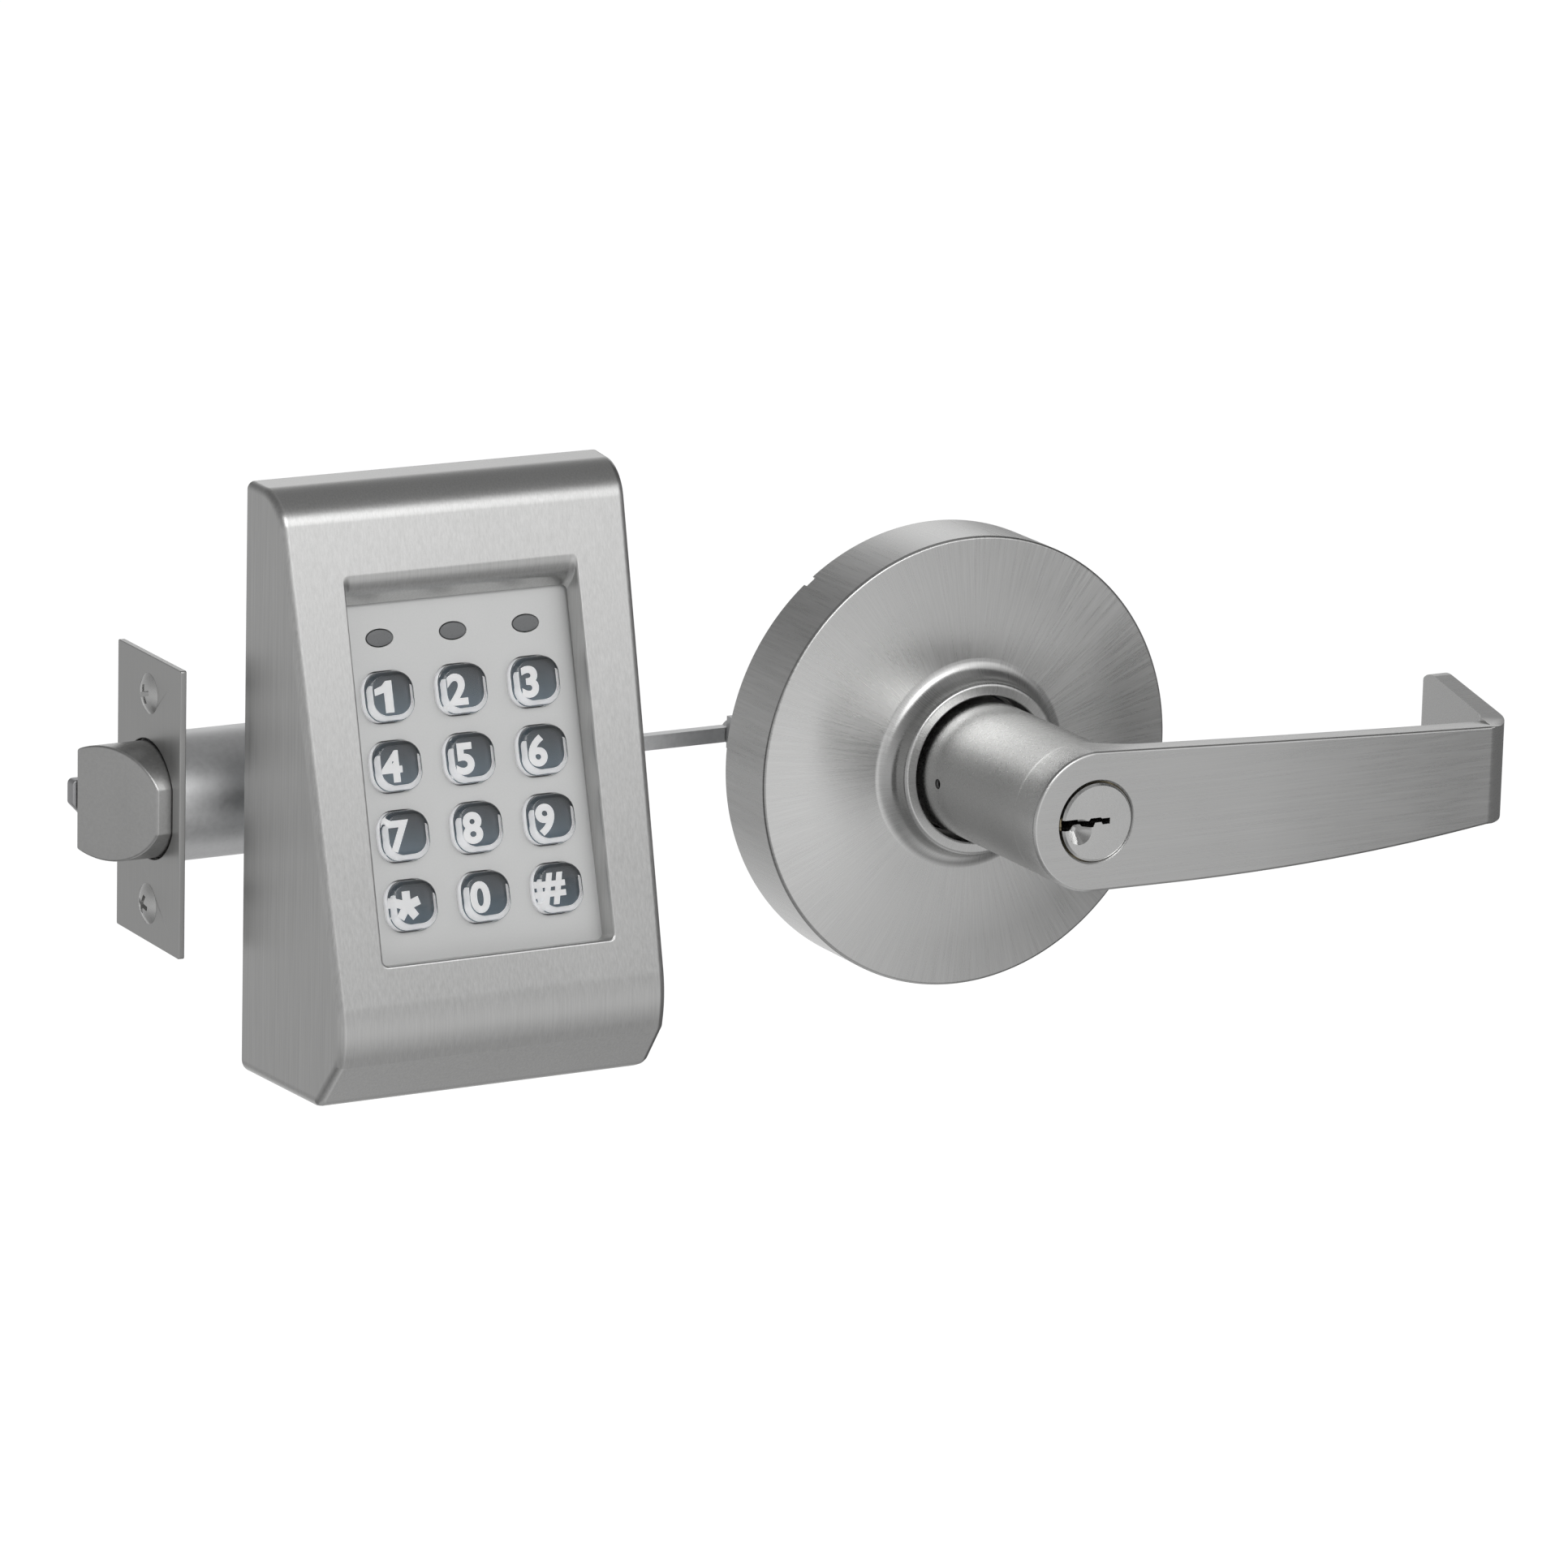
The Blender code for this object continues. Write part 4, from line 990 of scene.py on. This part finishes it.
def build_floor():
    floor = mesh_from(lambda bm: bmesh.ops.create_grid(bm, x_segments=8, y_segments=8, size=9000),
                      "floor")
    floor.location.z = FLOOR_HEIGHT
    paper = Material("pale_floor", Roughness=0.9)
    clouds = paper.noise(paper.position((1.5, 1.5, 1.5)), 2.0, 0.5)
    paper.wire("Base Color", paper.tint((0.93, 0.93, 0.93), paper.spread(clouds, 0.995, 1.005)))
    paper.wire("Emission Color", paper.tint((1.0, 1.0, 1.0), paper.spread(clouds, 0.99, 1.01)))
    paper.shader.inputs["Emission Strength"].default_value = FLOOR_GLOW
    floor.data.materials.append(paper.material)
    floor.visible_glossy = False
    floor.visible_diffuse = False


# Brightness of the surroundings by direction: up, to the right, and from the front to the back
SKY = ((-1.0, 0.50), (-0.90, 0.38), (-0.77, 0.25), (-0.50, 0.46), (-0.25, 0.67), (0.0, 0.60),
       (0.22, 0.46), (0.50, 0.30), (0.80, 0.22), (1.0, 0.22))
ACROSS = ((-1.0, 0.80), (-0.20, 0.80), (0.15, 1.30), (0.38, 1.48), (0.62, 0.28), (1.0, 0.28))
FRONT_TO_BACK = (1.12, 0.95)
COLOUR_SHARE = 0.5               # brings the brightnesses above 1 into a colour's range


def build_world():
    """Soft studio surroundings: brightest in front and a little below, dimmer above and right."""
    world = bpy.data.worlds.new("studio")
    bpy.context.scene.world = world
    world.use_nodes = True
    tree = world.node_tree
    place = tree.nodes.new("ShaderNodeTexCoord")
    parts = tree.nodes.new("ShaderNodeSeparateXYZ")
    tree.links.new(place.outputs["Generated"], parts.inputs[0])

    def spread(axis, reach, values, interpolation):
        """The direction along an axis, from -reach to reach, mapped to the two values."""
        made = tree.nodes.new("ShaderNodeMapRange")
        made.interpolation_type = interpolation
        tree.links.new(parts.outputs[axis], made.inputs["Value"])
        limits = (-reach, reach, *values)
        for socket, value in zip(("From Min", "From Max", "To Min", "To Max"), limits):
            made.inputs[socket].default_value = value
        return made.outputs[0]

    def ramp(axis, stops):
        """The stops' brightness by direction along an axis, times the colour share."""
        made = tree.nodes.new("ShaderNodeValToRGB")
        made.color_ramp.interpolation = "EASE"
        tree.links.new(spread(axis, 1.0, (0.0, 1.0), "LINEAR"), made.inputs["Fac"])
        elements = made.color_ramp.elements
        while len(elements) < len(stops):
            elements.new(0.5)
        for element, (where, brightness) in zip(elements, stops):
            element.position = (where + 1) / 2
            element.color = (*[brightness * COLOUR_SHARE] * 3, 1.0)
        return made.outputs["Color"]

    def product(a, b):
        made = tree.nodes.new("ShaderNodeMath")
        made.operation = "MULTIPLY"
        tree.links.new(a, made.inputs[0])
        if isinstance(b, float):
            made.inputs[1].default_value = b
        else:
            tree.links.new(b, made.inputs[1])
        return made.outputs[0]

    background = tree.nodes["Background"]
    tree.links.new(ramp("Z", SKY), background.inputs["Color"])
    strength = product(spread("Y", 0.8, FRONT_TO_BACK, "SMOOTHSTEP"), ramp("X", ACROSS))
    tree.links.new(product(strength, 1 / COLOUR_SHARE ** 2), background.inputs["Strength"])


def softbox(name, direction, distance, size, brightness):
    """A panel of light of a given brightness, facing the lock from a direction."""
    light = bpy.data.lights.new(name, "AREA")
    light.shape = "RECTANGLE"
    light.size, light.size_y = size
    light.energy = brightness * math.pi * size[0] * size[1]
    obj = link(name, light)
    towards = Vector(direction).normalized()
    obj.location = CAMERA_TARGET + towards * distance
    obj.rotation_euler = towards.to_track_quat("Z", "Y").to_euler()


def build_lights():
    softbox("front_right", (0.46, -0.77, 0.51), 0.85, (0.85, 0.50), 0.66)
    softbox("front_above", (-0.08, -0.82, 0.54), 1.0, (0.60, 0.34), 3.1)
    softbox("back_above", (0.45, 0.80, 0.34), 1.3, (1.1, 0.45), 0.55)
    softbox("back_below", (0.15, 0.85, -0.50), 1.3, (1.2, 0.5), 0.25)


def build_camera():
    data = bpy.data.cameras.new("camera")
    data.lens = CAMERA_LENS
    data.sensor_width = 36.0
    data.clip_end = 60.0
    camera = link("camera", data)
    towards = Vector((-math.sin(CAMERA_AZIMUTH) * math.cos(CAMERA_ELEVATION),
                      -math.cos(CAMERA_AZIMUTH) * math.cos(CAMERA_ELEVATION),
                      math.sin(CAMERA_ELEVATION)))
    turn = towards.to_track_quat("Z", "Y").to_matrix().to_4x4()
    camera.matrix_world = (Matrix.Translation(CAMERA_TARGET + towards * CAMERA_DISTANCE) @ turn
                           @ Matrix.Rotation(CAMERA_ROLL, 4, "Z"))
    bpy.context.scene.camera = camera


dress_frame()
build_rose()
build_mounting_plate()
build_chassis()
build_lever()
build_plug()
build_latch()
build_housing()
build_panel()
build_keys()
build_keypad_bolts()
build_floor()
build_world()
build_lights()
build_camera()
bpy.context.scene.view_settings.view_transform = "Standard"
